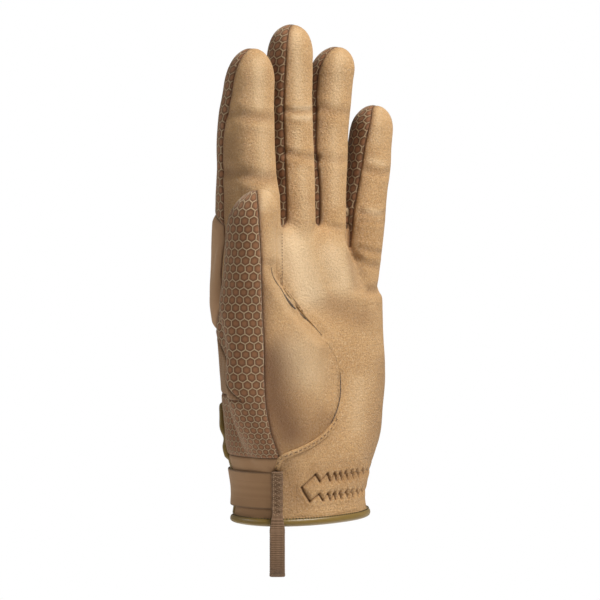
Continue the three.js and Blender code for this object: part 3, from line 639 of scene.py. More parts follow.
# The nap's pale fleck, then the colours of painted shade, of painted highlights, and of painted shade along
# the seams
NAP_FLECK, PAINTED_SHADE_BROWN, PAINTED_HIGHLIGHT_PALE, EDGE_BROWN = (238, 214, 178), (112, 72, 30), (238, 210, 168), (128, 82, 42)


def linear(r, g, b):
    """A screen colour, 0 to 255, as the shader wants it"""
    shares = (((c / 255 + 0.055) / 1.055) ** 2.4 if c > 10 else c / 255 / 12.92 for c in (r, g, b))
    return (*shares, 1)


def add_node(tree, kind, sockets=None, **settings):
    """A shader node with its settings, and its sockets linked or set"""
    node = tree.nodes.new("ShaderNode" + kind)
    for key, value in settings.items():
        setattr(node, key, value)
    for key, value in (sockets or {}).items():
        if isinstance(value, bpy.types.NodeSocket):
            tree.links.new(value, node.inputs[key])
        else:
            node.inputs[key].default_value = value
    return node


def vector_math(tree, operation, *values, result="Vector"):
    """One step of reckoning with places"""
    return add_node(tree, "VectorMath", dict(enumerate(values)), operation=operation).outputs[result]


def soft_finish(name, roughness, sheen, specular=0.35):
    """A new material, its tree, its shader and the place on it in millimetres"""
    material = bpy.data.materials.new(name)
    material.use_nodes = True
    tree = material.node_tree
    shader = tree.nodes["Principled BSDF"]
    shader.inputs["Roughness"].default_value = roughness
    shader.inputs["Specular IOR Level"].default_value = specular
    shader.inputs["Sheen Weight"].default_value = sheen
    shader.inputs["Sheen Roughness"].default_value = 0.45
    shader.inputs["Sheen Tint"].default_value = linear(255, 235, 205)
    place = add_node(tree, "TexCoord").outputs["Object"]
    return material, tree, shader, vector_math(tree, "MULTIPLY", place, (1000, 1000, 1000))


def soft_patches(tree, place, scale, detail=3.0, rough=0.5, low=0.35, high=0.65):
    """Soft random patches from 0 to 1"""
    cloud = add_node(tree, "TexNoise", {"Vector": place, "Scale": scale, "Detail": detail,
                                        "Roughness": rough}).outputs["Fac"]
    return add_node(tree, "MapRange", {"Value": cloud, "From Min": low, "From Max": high}).outputs[0]


def blend_colour(tree, factor, a, b):
    """From colour a to colour b by a factor"""
    mix = add_node(tree, "Mix", {"Factor": factor}, data_type="RGBA")
    for socket, value in ((mix.inputs[6], a), (mix.inputs[7], b)):
        if isinstance(value, bpy.types.NodeSocket):
            tree.links.new(value, socket)
        else:
            socket.default_value = value
    return mix.outputs[2]


def share_of(tree, value, by):
    """A value times a number"""
    return add_node(tree, "Math", {0: value, 1: by}, operation="MULTIPLY").outputs[0]


def drawn_to_mark(tree, colour, mark, strength, end):
    """The colour drawn towards another where the shell carries a mark: painted shade at seams, in creases
    and in strokes, or painted highlights
    """
    mask = add_node(tree, "Attribute", attribute_name=mark).outputs["Fac"]
    return blend_colour(tree, share_of(tree, mask, strength), colour, linear(*end))


def raised_grain(tree, height, depth, under=None):
    """A bump, depth in millimetres"""
    sockets = {"Height": height, "Strength": 1.0, "Distance": depth * MM}
    if under:
        sockets["Normal"] = under
    return add_node(tree, "Bump", sockets).outputs[0]


def leather(name, light, deep, shade):
    """A short nap with fine grain and flecks, in its own tones, with painted shade and painted highlights
    from the shell's marks
    """
    material, tree, shader, place = soft_finish(name, 0.48, 0.12, specular=0.45)
    colour = blend_colour(tree, soft_patches(tree, place, 0.05), linear(*light), linear(*deep))
    for scale, low, high, share, end in ((1.25, 0.44, 0.72, 0.5, shade), (1.5, 0.5, 0.68, 0.42, NAP_FLECK)):
        fleck = soft_patches(tree, place, scale, 5, 0.75, low, high)
        colour = blend_colour(tree, share_of(tree, fleck, share), colour, linear(*end))
    # Painted shade in the strokes, along the seams and in the creases; painted highlights in the pale
    # strokes
    for mark, strength, end in (("painted_shade", 0.95, PAINTED_SHADE_BROWN), ("pale", 0.75, PAINTED_HIGHLIGHT_PALE),
                                ("edge", 0.6, EDGE_BROWN), ("crease_shade", 0.5, shade), ("seam", 0.7, shade)):
        colour = drawn_to_mark(tree, colour, mark, strength, end)
    tree.links.new(colour, shader.inputs["Base Color"])
    grain = add_node(tree, "TexNoise", {"Vector": place, "Scale": 1.2, "Detail": 6, "Roughness": 0.78})
    pores = add_node(tree, "TexVoronoi", {"Vector": place, "Scale": 1.2}, feature="SMOOTH_F1")
    bump = raised_grain(tree, grain.outputs["Fac"], 0.85)
    bump = raised_grain(tree, pores.outputs["Distance"], 0.2, bump)
    tree.links.new(bump, shader.inputs["Normal"])
    return material


def panel(node, name, material, place=None, map_name="cells"):
    """The faces of one panel, with a wall and a place in the frame"""
    bm = skin.copy()
    number = PANELS.index(node)
    bmesh.ops.delete(bm, geom=[f for f in bm.faces if f.material_index != number], context="FACES")
    for f in bm.faces:
        f.material_index = 0
    piece = glove_piece(name, bm)
    if place:
        lay_map(piece, map_name, place)
    piece.data.materials.append(material)
    wall = piece.modifiers.new("wall", "SOLIDIFY")
    wall.thickness, wall.offset = WALL * MM, -1
    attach(piece, "root")
    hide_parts(node)


palm_leather = leather("palm_leather", PALM_LIGHT, PALM_DEEP, PALM_SHADE)
side_leather = leather("thumb_leather", THUMB_LIGHT, THUMB_DEEP, THUMB_SHADE)
panel("palm_panel", "palm_leather", palm_leather)
panel("index_panel", "index_leather", palm_leather)
panel("thumb_panel", "thumb_leather", side_leather)

# The honeycomb mesh of the thumb's outer side and of the four fingers' backs: a knitted mesh with raised
# light threads round recessed brown cells, sewn to the leather at the side seams. The cells follow each
# digit round, and are drawn in towards the cuff.
CELL = 3.86              # width of a cell
MAP_START = 400          # cells, so that no place on the map is negative
# The threads, the cells, and the painted shade at each cell's rim under the raised threads
MESH_THREAD, MESH_CELL, MESH_RING = (168, 142, 108), (138, 93, 60), (90, 58, 34)
LEVEL_STEP, TURN_STEP = 3, 5          # millimetres, degrees
DRAWN_BELOW, DRAWN_OVER = 62, 33      # from what height down the mesh is drawn in, and over what length


def honeycomb(name, thread_colour, cell_colour, ring_colour):
    """Six-sided cells and their threads, laid by the piece's own map"""
    material, tree, shader, place = soft_finish(name, 0.85, 0.3)
    where = add_node(tree, "UVMap", uv_map="cells").outputs["UV"]
    wobble = add_node(tree, "TexNoise", {"Vector": place, "Scale": 0.25, "Detail": 1}).outputs["Color"]
    where = vector_math(tree, "ADD", where, vector_math(tree, "MULTIPLY", wobble, (0.5, 0.5, 0)))
    where = vector_math(tree, "MULTIPLY", where, (1 / CELL, 1 / CELL, 0))
    step, half = (1, math.sqrt(3), 1), (0.5, math.sqrt(3) / 2, 0)
    nearest = []
    for shift in ((0, 0, 0), half):
        lap = vector_math(tree, "MODULO", vector_math(tree, "ADD", where, shift), step)
        nearest.append(vector_math(tree, "ABSOLUTE", vector_math(tree, "SUBTRACT", lap, half)))
    lengths = [vector_math(tree, "LENGTH", n, result="Value") for n in nearest]
    second = add_node(tree, "Math", {0: lengths[1], 1: lengths[0]}, operation="LESS_THAN").outputs[0]
    cell = add_node(tree, "Mix", {"Factor": second}, data_type="VECTOR")
    tree.links.new(nearest[0], cell.inputs[4])
    tree.links.new(nearest[1], cell.inputs[5])
    slant = vector_math(tree, "DOT_PRODUCT", cell.outputs[1], half, result="Value")
    straight = add_node(tree, "SeparateXYZ", {0: cell.outputs[1]}).outputs["X"]
    out = add_node(tree, "Math", {0: slant, 1: straight}, operation="MAXIMUM").outputs[0]
    thread = add_node(tree, "MapRange", {"Value": out, "From Min": 0.425, "From Max": 0.46}).outputs[0]
    # Each cell darkens to the ring colour at its edge, painted shade under the raised threads; random flecks
    # take the same dark colour
    middle = add_node(tree, "MapRange", {"Value": out, "From Min": 0.4, "From Max": 0.15}).outputs[0]
    fine = soft_patches(tree, place, 2.2, 4, 0.6, 0.3, 0.7)
    hole = blend_colour(tree, middle, linear(*ring_colour), linear(*cell_colour))
    hole = blend_colour(tree, share_of(tree, fine, 0.35), hole, linear(*ring_colour))
    colour = blend_colour(tree, thread, hole, linear(*thread_colour))
    # Painted shade along the seams
    colour = drawn_to_mark(tree, colour, "seam", 0.5, ring_colour)
    tree.links.new(colour, shader.inputs["Base Color"])
    knit = add_node(tree, "TexNoise", {"Vector": place, "Scale": 2.5, "Detail": 3})
    bump = raised_grain(tree, knit.outputs["Fac"], 0.12)
    bump = raised_grain(tree, thread, 0.22, bump)
    tree.links.new(bump, shader.inputs["Normal"])
    return material


def lay_map(piece, name, place):
    """A map of the piece from its places: place(points) gives two columns in millimetres"""
    mesh = piece.data
    co = np.zeros(len(mesh.vertices) * 3)
    mesh.vertices.foreach_get("co", co)
    start = MAP_START * CELL * np.array([0.5, math.sqrt(3) / 2])
    flat = np.column_stack(place(co.reshape(-1, 3) / MM)) + start
    corner = np.zeros(len(mesh.loops), int)
    mesh.loops.foreach_get("vertex_index", corner)
    layer = mesh.uv_layers.new(name=name)
    layer.data.foreach_set("uv", flat[corner].ravel())


def laid_round(p, axis, ahead):
    """How far each place is round its panel from the line that faces ahead, by true length"""
    x, y = (np.interp(p[:, 2], [r[0] for r in axis], [r[i] for r in axis]) for i in (1, 2))
    dx, dy = p[:, 0] - x, p[:, 1] - y
    angle = np.arctan2(ahead[0] * dy - ahead[1] * dx, ahead[0] * dx + ahead[1] * dy)
    reach = np.hypot(dx, dy)
    levels = np.arange(p[:, 2].min() - 2, p[:, 2].max() + 6, LEVEL_STEP)
    angles = np.radians(np.arange(-180, 181, TURN_STEP))
    lengths = []
    for level in levels:
        away = np.abs(p[:, 2] - level)
        near = away < away.min() + 4
        order = np.argsort(angle[near])
        radius = np.interp(angles, angle[near][order], reach[near][order])
        for _ in range(3):
            radius[1:-1] = (radius[:-2] + radius[1:-1] * 2 + radius[2:]) / 4
        steps = np.hypot(np.diff(radius), (radius[1:] + radius[:-1]) / 2 * np.radians(TURN_STEP))
        length = np.concatenate([[0], np.cumsum(steps)])
        lengths.append(length - length[len(length) // 2])
    lengths = np.array(lengths)
    for _ in range(4):
        lengths[1:-1] = (lengths[:-2] + lengths[1:-1] * 2 + lengths[2:]) / 4
    row, col = (p[:, 2] - levels[0]) / LEVEL_STEP, (angle + math.pi) / np.radians(TURN_STEP)
    i = np.clip(row.astype(int), 0, len(levels) - 2)
    j = np.clip(col.astype(int), 0, len(angles) - 2)
    s, t = row - i, col - j
    return ((lengths[i, j] * (1 - t) + lengths[i, j + 1] * t) * (1 - s)
            + (lengths[i + 1, j] * (1 - t) + lengths[i + 1, j + 1] * t) * s)


def drawn_in(p, length):
    """The mesh is gathered towards the cuff, so its cells are smaller there"""
    below = np.maximum(DRAWN_BELOW - p[:, 2], 0)
    return (length * (1.07 + 0.5 * below / DRAWN_OVER),
            1.04 * p[:, 2] - 0.5 * below ** 2 / (2 * DRAWN_OVER))


def finger_map(name):
    """The mesh laid round a finger and up it"""
    axis = [r[:3] for r in FINGERS[name]] + [TIPS[name]]
    high, tip = FINGERS[name][-1][0], TIPS[name][0]
    return lambda p: (laid_round(p, axis, (0, 1)),
                      p[:, 2] + 3 * np.clip((p[:, 2] - high) / (tip - high), 0, 1) ** 3)


def thumb_map(p):
    """The mesh laid round the thumb and its ball"""
    axis = [(20, -6, 2), (60, -20, -2), (80, -30, -8), (97, -42, -16), (141, -45, -22)]
    return drawn_in(p, laid_round(p, axis, (-0.87, -0.5)))


mesh_cloth = honeycomb("honeycomb_mesh", MESH_THREAD, MESH_CELL, MESH_RING)
panel("thumb_mesh", "thumb_honeycomb", mesh_cloth, thumb_map)
for finger in FINGERS:
    panel(finger + "_back", finger + "_honeycomb", mesh_cloth, finger_map(finger))

# The knuckle cover: one smooth piece of tightly woven cloth over all four knuckles, lightly padded, sewn to
# the finger backs above and to the mesh of the back below.
KNUCKLE_LIGHT, KNUCKLE_DEEP = (172, 134, 98), (154, 118, 85)
FINE_THREAD = 0.5        # pitch of a smooth, tight weave


def woven(name, light, deep, across, along, depth, roughness=0.85, mix=0.6):
    """Woven or ribbed cloth: two sets of threads along the piece's own map"""
    material, tree, shader, place = soft_finish(name, roughness, 0.25)
    where = add_node(tree, "UVMap", uv_map="weave").outputs["UV"]
    parts = add_node(tree, "SeparateXYZ", {0: where})
    ribs = []
    for axis, pitch in (("X", across), ("Y", along)):
        turns = share_of(tree, parts.outputs[axis], 2 * math.pi / pitch)
        wave = add_node(tree, "Math", {0: turns}, operation="SINE").outputs[0]
        ribs.append(add_node(tree, "MapRange", {"Value": wave, "From Min": -1, "From Max": 1}).outputs[0])
    thread = add_node(tree, "Math", {0: share_of(tree, ribs[0], mix), 1: share_of(tree, ribs[1], 1 - mix)},
                      operation="ADD").outputs[0]
    broad = soft_patches(tree, place, 0.12, 3)
    colour = blend_colour(tree, thread, linear(*deep), linear(*light))
    colour = blend_colour(tree, share_of(tree, broad, 0.3), colour, linear(*deep))
    fine = soft_patches(tree, place, 3.0, 3, 0.6, 0.3, 0.7)
    colour = blend_colour(tree, share_of(tree, fine, 0.25), colour, linear(*deep))
    # Painted shade along the seams, and along the strap's edges and its sewn end
    colour = drawn_to_mark(tree, colour, "seam", 0.6, [c * 0.55 for c in deep])
    tree.links.new(colour, shader.inputs["Base Color"])
    lint = add_node(tree, "TexNoise", {"Vector": place, "Scale": 2.5, "Detail": 4})
    bump = raised_grain(tree, lint.outputs["Fac"], 0.08)
    tree.links.new(raised_grain(tree, thread, depth, bump), shader.inputs["Normal"])
    return material


def back_map(p):
    """Cloth laid over the back of the hand"""
    return drawn_in(p, laid_round(p, [(0, 0, -4), (200, 0, -4)], (0, 1)))


knuckle_cloth = woven("knuckle_fabric", KNUCKLE_LIGHT, KNUCKLE_DEEP, FINE_THREAD, FINE_THREAD, 0.03)
panel("knuckle_panel", "knuckle_cover", knuckle_cloth, back_map, "weave")

# The back of the hand: the same honeycomb mesh from the knuckle cover down to the cuff, sewn to the
# thumb's mesh at one side and to the palm leather at the other.
panel("back_mesh", "back_honeycomb", mesh_cloth, back_map)

# The patch above the wrist vent: a plain smooth piece of cloth where the vent ends, sewn down all round to
# carry the pull of the strap. Its weave is coarser than the knuckle cover's.
PATCH_LIGHT, PATCH_DEEP = (146, 110, 76), (112, 82, 54)
PATCH_ACROSS, PATCH_ALONG = 2.2, 1.1
patch_cloth = woven("patch_fabric", PATCH_LIGHT, PATCH_DEEP, PATCH_ACROSS, PATCH_ALONG, 0.06)
panel("back_patch", "vent_patch", patch_cloth, back_map, "weave")

# The cuff bands: woven elastic on the two sides of the vent, round the back of the wrist, sewn to the mesh
# above it and to the palm leather at its ends.
BAND_LIGHT, BAND_DEEP = (150, 115, 80), (134, 100, 68)


def wrist_map(p):
    """Cloth laid round the wrist"""
    return np.radians(wrist_turn(p)) * WRIST_RADIUS, p[:, 2]


band_cloth = woven("cuff_elastic", BAND_LIGHT, BAND_DEEP, FINE_THREAD, FINE_THREAD, 0.03)
panel("cuff_band_outer", "cuff_band_thumb_side", band_cloth, wrist_map, "weave")
panel("cuff_band_back", "cuff_band_back_side", band_cloth, wrist_map, "weave")

# The bindings: an olive tape folded and rolled over the raw edge of the hem and of the wrist vent, and sewn
# through. Each is a firm round roll; the vent's is pressed flat where the strap lies over it.
OLIVE_LIGHT, OLIVE_DEEP = (134, 110, 54), (104, 82, 36)
ROLL_POWER = 2.3
HEM_HALF, HEM_DEEP, HEM_MIDDLE = 1.75, 1.85, 1.72
VENT_HALF, VENT_DEEP = 1.5, 2.1
VENT_LOW, VENT_HIGH = 3.7, 46.5
VENT_RISE, VENT_BEND = 44.0, 6        # millimetres of tape up one side, and round the top
VENT_TAPE = 2 * VENT_RISE + VENT_BEND


def wrist_point(turn, z, out):
    """A point on the cuff, some way off its surface"""
    x, across, deep, power = (float(measure_at(HAND, i, z)) for i in (1, 2, 3, 5))
    s, c = math.sin(math.radians(turn)), math.cos(math.radians(turn))
    reach = (abs(s / (across + out)) ** power + abs(c / (deep + out)) ** power) ** (-1 / power)
    return (x + reach * s, -reach * c, z)


def vent_turn(z, side, off):
    """Degrees round the wrist of a side of the vent, some way off its edge"""
    middle, width = (float(np.interp(z, [r[0] for r in VENT], [r[i] for r in VENT])) for i in (1, 2))
    return middle + side * math.degrees((width / 2 + off) / WRIST_RADIUS)


def sewn_strip(name, columns, rows, place, material, size, nodes=(), close=True, shade=None):
    """A tape, cord or strap wrapped from a grid; size is its map's length and girth in millimetres"""
    bm = bmesh.new()
    bmesh.ops.create_grid(bm, x_segments=columns, y_segments=rows, size=1)
    layer = bm.loops.layers.uv.new("weave")
    for f in bm.faces:
        for corner in f.loops:
            corner[layer].uv = ((corner.vert.co.x + 1) / 2 * size[0], (corner.vert.co.y + 1) / 2 * size[1])
        f.smooth = True
    # The seam mark: painted shade where shade(u, v) gives it, and none without a shade function
    dark = bm.verts.layers.float.new("seam")
    for v in bm.verts:
        across, along = (v.co.x + 1) / 2, (v.co.y + 1) / 2
        v[dark] = shade(across, along) if shade else 0.0
        v.co = Vector(place(across, along)) * MM
    bmesh.ops.remove_doubles(bm, verts=bm.verts, dist=1e-6)
    if close:
        bmesh.ops.holes_fill(bm, edges=[e for e in bm.edges if e.is_boundary], sides=0)
    bmesh.ops.recalc_face_normals(bm, faces=bm.faces)
    piece = glove_piece(name, bm)
    piece.data.materials.append(material)
    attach(piece, "root")
    if nodes:
        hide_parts(*nodes)
    return piece


binding_tape = woven("rolled_binding", OLIVE_LIGHT, OLIVE_DEEP, FINE_THREAD, FINE_THREAD, 0.03,
                     roughness=0.3, mix=0.5)
HEM_START, HEM_END = vent_turn(0, 1, 1.3), vent_turn(0, -1, 1.3) + 360


def hem_place(u, v):
    """The hem's roll, from one side of the vent round to the other"""
    z, out = oval(v * 2 * math.pi, HEM_HALF, HEM_DEEP, ROLL_POWER)
    return wrist_point(HEM_START + (HEM_END - HEM_START) * u, HEM_MIDDLE + z, -0.5 + out)


def vent_place(u, v):
    """The vent's roll, up one side, round its top and down the other, pressed flat under the strap"""
    w, out = oval(v * 2 * math.pi, VENT_HALF, VENT_DEEP, ROLL_POWER)
    w, out = w + 0.9, out - 0.45
    along = u * VENT_TAPE
    out *= 0.3 + 0.7 * float(smoothstep(along, 23, 25) * smoothstep(-along, -71, -69))
    if VENT_RISE <= along <= VENT_RISE + VENT_BEND:
        t = (along - VENT_RISE) / VENT_BEND * math.pi
        z = VENT_HIGH + math.sin(t) * (1.7 + w * 1.1)
        top = VENT[-1][1]
        return wrist_point(top + math.cos(t) * (vent_turn(VENT_HIGH, 1, w) - top), z, out)
    side = 1 if along < VENT_RISE else -1
    up = along if side > 0 else VENT_TAPE - along
    z = VENT_LOW + (VENT_HIGH - VENT_LOW) * up / VENT_RISE
    wave = 0.3 * math.exp(-((z - 41) / 3) ** 2) - 1.1 * math.exp(-((z - 35.5) / 2.6) ** 2)
    return wrist_point(vent_turn(z, side, w), z, out + wave)


sewn_strip("hem_roll", 260, 20, hem_place, binding_tape, (170, 11), ["hem_binding"])
sewn_strip("vent_roll", 170, 18, vent_place, binding_tape, (94, 10), ["vent_binding"])

# The closure strap: a flat woven strap, hook-and-loop inside, that closes the vent. It is sewn down at its
# thumb end, and from there it stands a little off the cuff.
STRAP_START, STRAP_SWEEP = -62.5, 140         # degrees round the wrist
STRAP_HALF, STRAP_THICK, STRAP_MIDDLE = 7.8, 0.6, 14.7
STRAP_POWER = 6


def strap_place(u, v):
    """The strap, from its thumb end round the back of the wrist"""
    z, out = oval(v * 2 * math.pi, STRAP_HALF, STRAP_THICK, STRAP_POWER)
    lift = 0.4 + 0.75 * smoothstep(u, 0.2, 0.4) - 0.35 * smoothstep(-u, -0.012, 0)
    middle = STRAP_MIDDLE + 0.4 * (1 - smoothstep(u, 0, 0.35))
    return wrist_point(STRAP_START - STRAP_SWEEP * u, middle + z, lift + out)


def strap_shade(u, v):
    """Painted shade along the strap's two edges and at its sewn end"""
    z, _ = oval(v * 2 * math.pi, STRAP_HALF, STRAP_THICK, STRAP_POWER)
    return max(float(smoothstep(abs(z), 6.9, 7.6)), float(smoothstep(-u, -0.012, -0.004)))


sewn_strip("wrist_strap", 260, 72, strap_place, band_cloth, (76, 38), ["closure_strap"],
           shade=strap_shade)

# The gathered wrist: elastic under the leather on the heel of the palm, caught by two zigzag rows of
# stitches, so that the leather puffs up between them. Each tooth falls steeply and rises slowly.
# The teeth are given by the upper row's points, in degrees round the wrist.
TEETH = [-27.8, -12.9, -3.1, 4.5, 12.9, 22.8, 31.4, 41, 51, 61, 71, 81]
GATHER_TIP = (-41, 16)                # where the two rows meet: degrees, height
UPPER_TOP, UPPER_LOW, LOWER_LOW, LOWER_TOP = 21.2, 18.1, 10.1, 12.9
UPPER_FALL, LOWER_FALL, LOWER_BACK = 0.4, 0.68, 4.5
GATHER_TURNS, GATHER_HEIGHTS = (-48, 86), (4.4, 26.6)
ACROSS, UPWARD = 320, 70
PUFF_WALL = 0.9
ROUND_TURNS = np.arange(-60, 101)
contour = [Vector(wrist_point(t, 15, 0)) for t in ROUND_TURNS]
ROUND_LENGTHS = np.concatenate([[0], np.cumsum([(b - a).length for a, b in zip(contour, contour[1:])])])


def round_wrist(turn):
    """Millimetres round the wrist"""
    return np.interp(turn, ROUND_TURNS, ROUND_LENGTHS)


upper, lower, steep, gentle = [GATHER_TIP], [GATHER_TIP], [], []
for a, b in zip(TEETH, TEETH[1:]):
    upper += [(a, UPPER_TOP), (a + UPPER_FALL * (b - a), UPPER_LOW)]
    lower += [(a - LOWER_BACK, LOWER_LOW), (a - LOWER_BACK + LOWER_FALL * (b - a), LOWER_TOP)]
upper, lower = ([(float(round_wrist(t)), z) for t, z in row] for row in (upper, lower))
for row, falls in ((upper, 1), (lower, 0)):
    for k, (a, b) in enumerate(zip(row, row[1:])):
        (steep if k % 2 == falls else gentle).append([a, b])
gather_turns, gather_heights = np.meshgrid(np.linspace(*GATHER_TURNS, ACROSS + 1),
                                           np.linspace(*GATHER_HEIGHTS, UPWARD + 1), indexing="ij")
along, high = round_wrist(gather_turns).ravel(), gather_heights.ravel()
steep_off = np.min([from_line(along, high, line) for line in steep], axis=0)
gentle_off = np.min([from_line(along, high, line) for line in gentle], axis=0)
nearest_off = np.minimum(steep_off, gentle_off)
between_rows = ((high < np.interp(along, *zip(*upper))) & (high > np.interp(along, *zip(*lower)))
                & (along > upper[0][0]))
puffed = np.where(between_rows, 0.15 + 0.8 * smoothstep(nearest_off, 0, 2.2),
                  0.3 * np.exp(-((nearest_off - 1.2) / 0.9) ** 2))
puffed -= 1.2 * np.exp(-(steep_off / 0.45) ** 2) + 0.9 * np.exp(-(gentle_off / 0.42) ** 2)
puffed = puffed.reshape(gather_turns.shape)
# Painted shade in the creases along the teeth, deepest at their steep edges
folds = np.exp(-(steep_off / 0.45) ** 2) + 0.45 * np.exp(-(gentle_off / 0.35) ** 2)
folds = folds.reshape(gather_turns.shape)


def gather_place(u, v):
    """The puffed leather, which sinks into the palm at its rim"""
    i, j = round(u * ACROSS), round(v * UPWARD)
    turn, z = float(gather_turns[i, j]), float(gather_heights[i, j])
    outside, axis = Vector(wrist_point(turn, z, 15)), Vector((float(measure_at(HAND, 1, z)), 0, z))
    hit = surface.ray_cast(outside * MM, (axis - outside).normalized())[0] / MM
    rim = float(smoothstep(min(u, 1 - u) * 60, 0, 1.6) * smoothstep(min(v, 1 - v) * 22, 0, 1.6))
    return hit + (outside - axis).normalized() * (0.04 - 0.5 * (1 - rim) + float(puffed[i, j]) * rim)


def gather_shade(u, v):
    """Painted shade in the creases along the rows of stitches"""
    return float(folds[round(u * ACROSS), round(v * UPWARD)])


puff = sewn_strip("wrist_gather", ACROSS, UPWARD, gather_place, palm_leather, (60, 12),
                  ["wrist_elastic"], close=False, shade=gather_shade)
# The puff takes the same painted shade and painted highlights as the palm round it
puff_at = np.zeros(len(puff.data.vertices) * 3)
puff.data.vertices.foreach_get("co", puff_at)
for name, values in zip(("painted_shade", "pale"), shade_and_highlight(*seen(puff_at.reshape(-1, 3) / MM))):
    puff.data.attributes.new(name, "FLOAT", "POINT").data.foreach_set("value", values.astype(np.float32))
wall = puff.modifiers.new("wall", "SOLIDIFY")
wall.thickness, wall.offset = PUFF_WALL * MM, -1

# The pull loop: a short length of ribbed webbing folded on itself and sewn flat on the cuff, over the end of
# the strap. Its eye hangs open below the hem, for a finger to pull the glove on.
WEBBING_LIGHT, WEBBING_DEEP = (132, 103, 77), (94, 69, 48)
RIB, PICK = 0.95, 0.8    # the pitch of its ribs and of its cross threads
# Height, and how far out from the middle of the fold
LOOP_SIDE = [(23.3, 0.55), (3, 0.6), (-3, 3.2), (-9, 3.9), (-16.2, 3.5), (-19.4, 2.2)]
LOOP_LINE = LOOP_SIDE + [(-20.2, 0)] + [(z, -d) for z, d in reversed(LOOP_SIDE)]
LOOP_AT, LOOP_TURN = (-28, -15.7), math.radians(-41.5)
LOOP_OUT = (math.sin(LOOP_TURN), -math.cos(LOOP_TURN))
LOOP_NARROW, LOOP_SPREAD = 2.3, 0.85          # half width on the cuff, and how much wider below it
ON_CUFF, OVER_HEM = 1.4, 1.05                 # from the cuff to the fold's middle, and more over the hem


def off_cuff(z):
    """How far out along the loop's facing the cuff is"""
    x, across, deep, power = (float(measure_at(HAND, i, z)) for i in (1, 2, 3, 5))
    steps = np.linspace(-8, 2, 501)
    inside = (np.abs((LOOP_AT[0] + LOOP_OUT[0] * steps - x) / across) ** power
              + np.abs((LOOP_AT[1] + LOOP_OUT[1] * steps) / deep) ** power) < 1
    return steps[inside].max()


LOOP_HEIGHTS = np.linspace(-24, 26, 101)
LOOP_SHIFTS = (np.array([off_cuff(z) for z in LOOP_HEIGHTS]) + ON_CUFF
               + OVER_HEM * smoothstep(-LOOP_HEIGHTS, -5.5, -3.5))


def loop_place(u, v):
    """The webbing down the outer side, round the eye and up the inner side, on a smooth curve"""
    along = u * (len(LOOP_LINE) - 1)
    i = min(int(along), len(LOOP_LINE) - 2)
    knots = [LOOP_LINE[min(max(k, 0), len(LOOP_LINE) - 1)] for k in range(i - 1, i + 3)]
    t = along - i
    z, d = (0.5 * (2 * b + (c - a) * t + (2 * a - 5 * b + 4 * c - e) * t * t
                   + (3 * b - a - 3 * c + e) * t ** 3) for a, b, c, e in zip(*knots))
    dz, dd = (knots[2][0] - knots[1][0], knots[2][1] - knots[1][1])
    length = math.hypot(dz, dd) or 1
    w, thick = oval(v * 2 * math.pi, 1, 0.5, 5)
    width = LOOP_NARROW + LOOP_SPREAD * float(smoothstep(-z, -6, 2))
    width *= 1 + 0.04 * math.sin(z * 2 * math.pi / RIB)
    d += float(np.interp(z, LOOP_HEIGHTS, LOOP_SHIFTS))
    d, z = d - thick * dz / length, z + thick * dd / length
    return (LOOP_AT[0] + LOOP_OUT[0] * d - LOOP_OUT[1] * w * width,
            LOOP_AT[1] + LOOP_OUT[1] * d + LOOP_OUT[0] * w * width, z)


webbing = woven("loop_webbing", WEBBING_LIGHT, WEBBING_DEEP, RIB, PICK, 0.2, roughness=0.9, mix=0.75)
sewn_strip("pull_loop_webbing", 240, 28, loop_place, webbing, (96, 15), ["pull_loop"])

# The leather tapes: a narrow stitched tape from the ball of the thumb to the loop, and another in the fold
# between the thumb and the palm, with thin dark strips of painted shadow for the slit of that fold and for
# the pressed seam lines next to it.
THUMB_TAPE = [(14.9, 42.9), (12.2, 38.1), (7.6, 33.8), (2.1, 30.5), (-3.3, 28.3), (-7.7, 26.8),
              (-10.3, 24.6), (-10.7, 21)]
FOLD_TAPE = [(-7.9, 98.2), (-3.6, 92.9), (0.6, 87.2), (4.5, 82.4)]
FOLD_SLIT = [(-8.4, 96.7), (-6.2, 93), (-3.4, 89.7), (-1.5, 87.8), (4.6, 82.4), (8.4, 78)]
FOLD_EDGE = [(-13.2, 107.1), (-12.6, 103), (-8.2, 96.6)]
BALL_SEAM = [(16.2, 62), (16.4, 57), (16.3, 52), (14.9, 46), (11.6, 39)]
# The browns of the strips of painted shadow
SLIT_SHADOW_LIGHT, SLIT_SHADOW_DEEP, SLIT_SHADOW_DARK = (64, 38, 22), (52, 30, 16), (34, 18, 10)
LINE_STEP, LINE_ROUNDS = 0.6, 14      # of a line drawn on the glove: its step, and its rounds of smoothing


def in_view(u, h):
    """The glove where the camera sees it: the point and the way out there"""
    side = look.cross(Vector((0, 0, 1))).normalized()
    aim = side * (u - TARGET @ side) + side.cross(look) * (h - TARGET.z) + look * DISTANCE
    hit, normal, _, _ = surface.ray_cast((TARGET - look * DISTANCE) * MM, aim.normalized())
    return hit / MM, normal


def drawn(points, lift):
    """A line on the glove where the camera sees these points, with the way out at each step"""
    stops = np.concatenate([[0], np.cumsum([math.dist(a, b) for a, b in zip(points, points[1:])])])
    line = []
    for s in np.linspace(0, stops[-1], max(3, int(stops[-1] / LINE_STEP))):
        at, normal = in_view(*(float(np.interp(s, stops, [q[i] for q in points])) for i in (0, 1)))
        line.append((at + normal * lift, normal))
    for _ in range(LINE_ROUNDS):
        line = [line[0]] + [((a + b * 2 + c) / 4, (l + m * 2 + n).normalized())
                            for (a, l), (b, m), (c, n) in zip(line, line[1:], line[2:])] + [line[-1]]
    return line


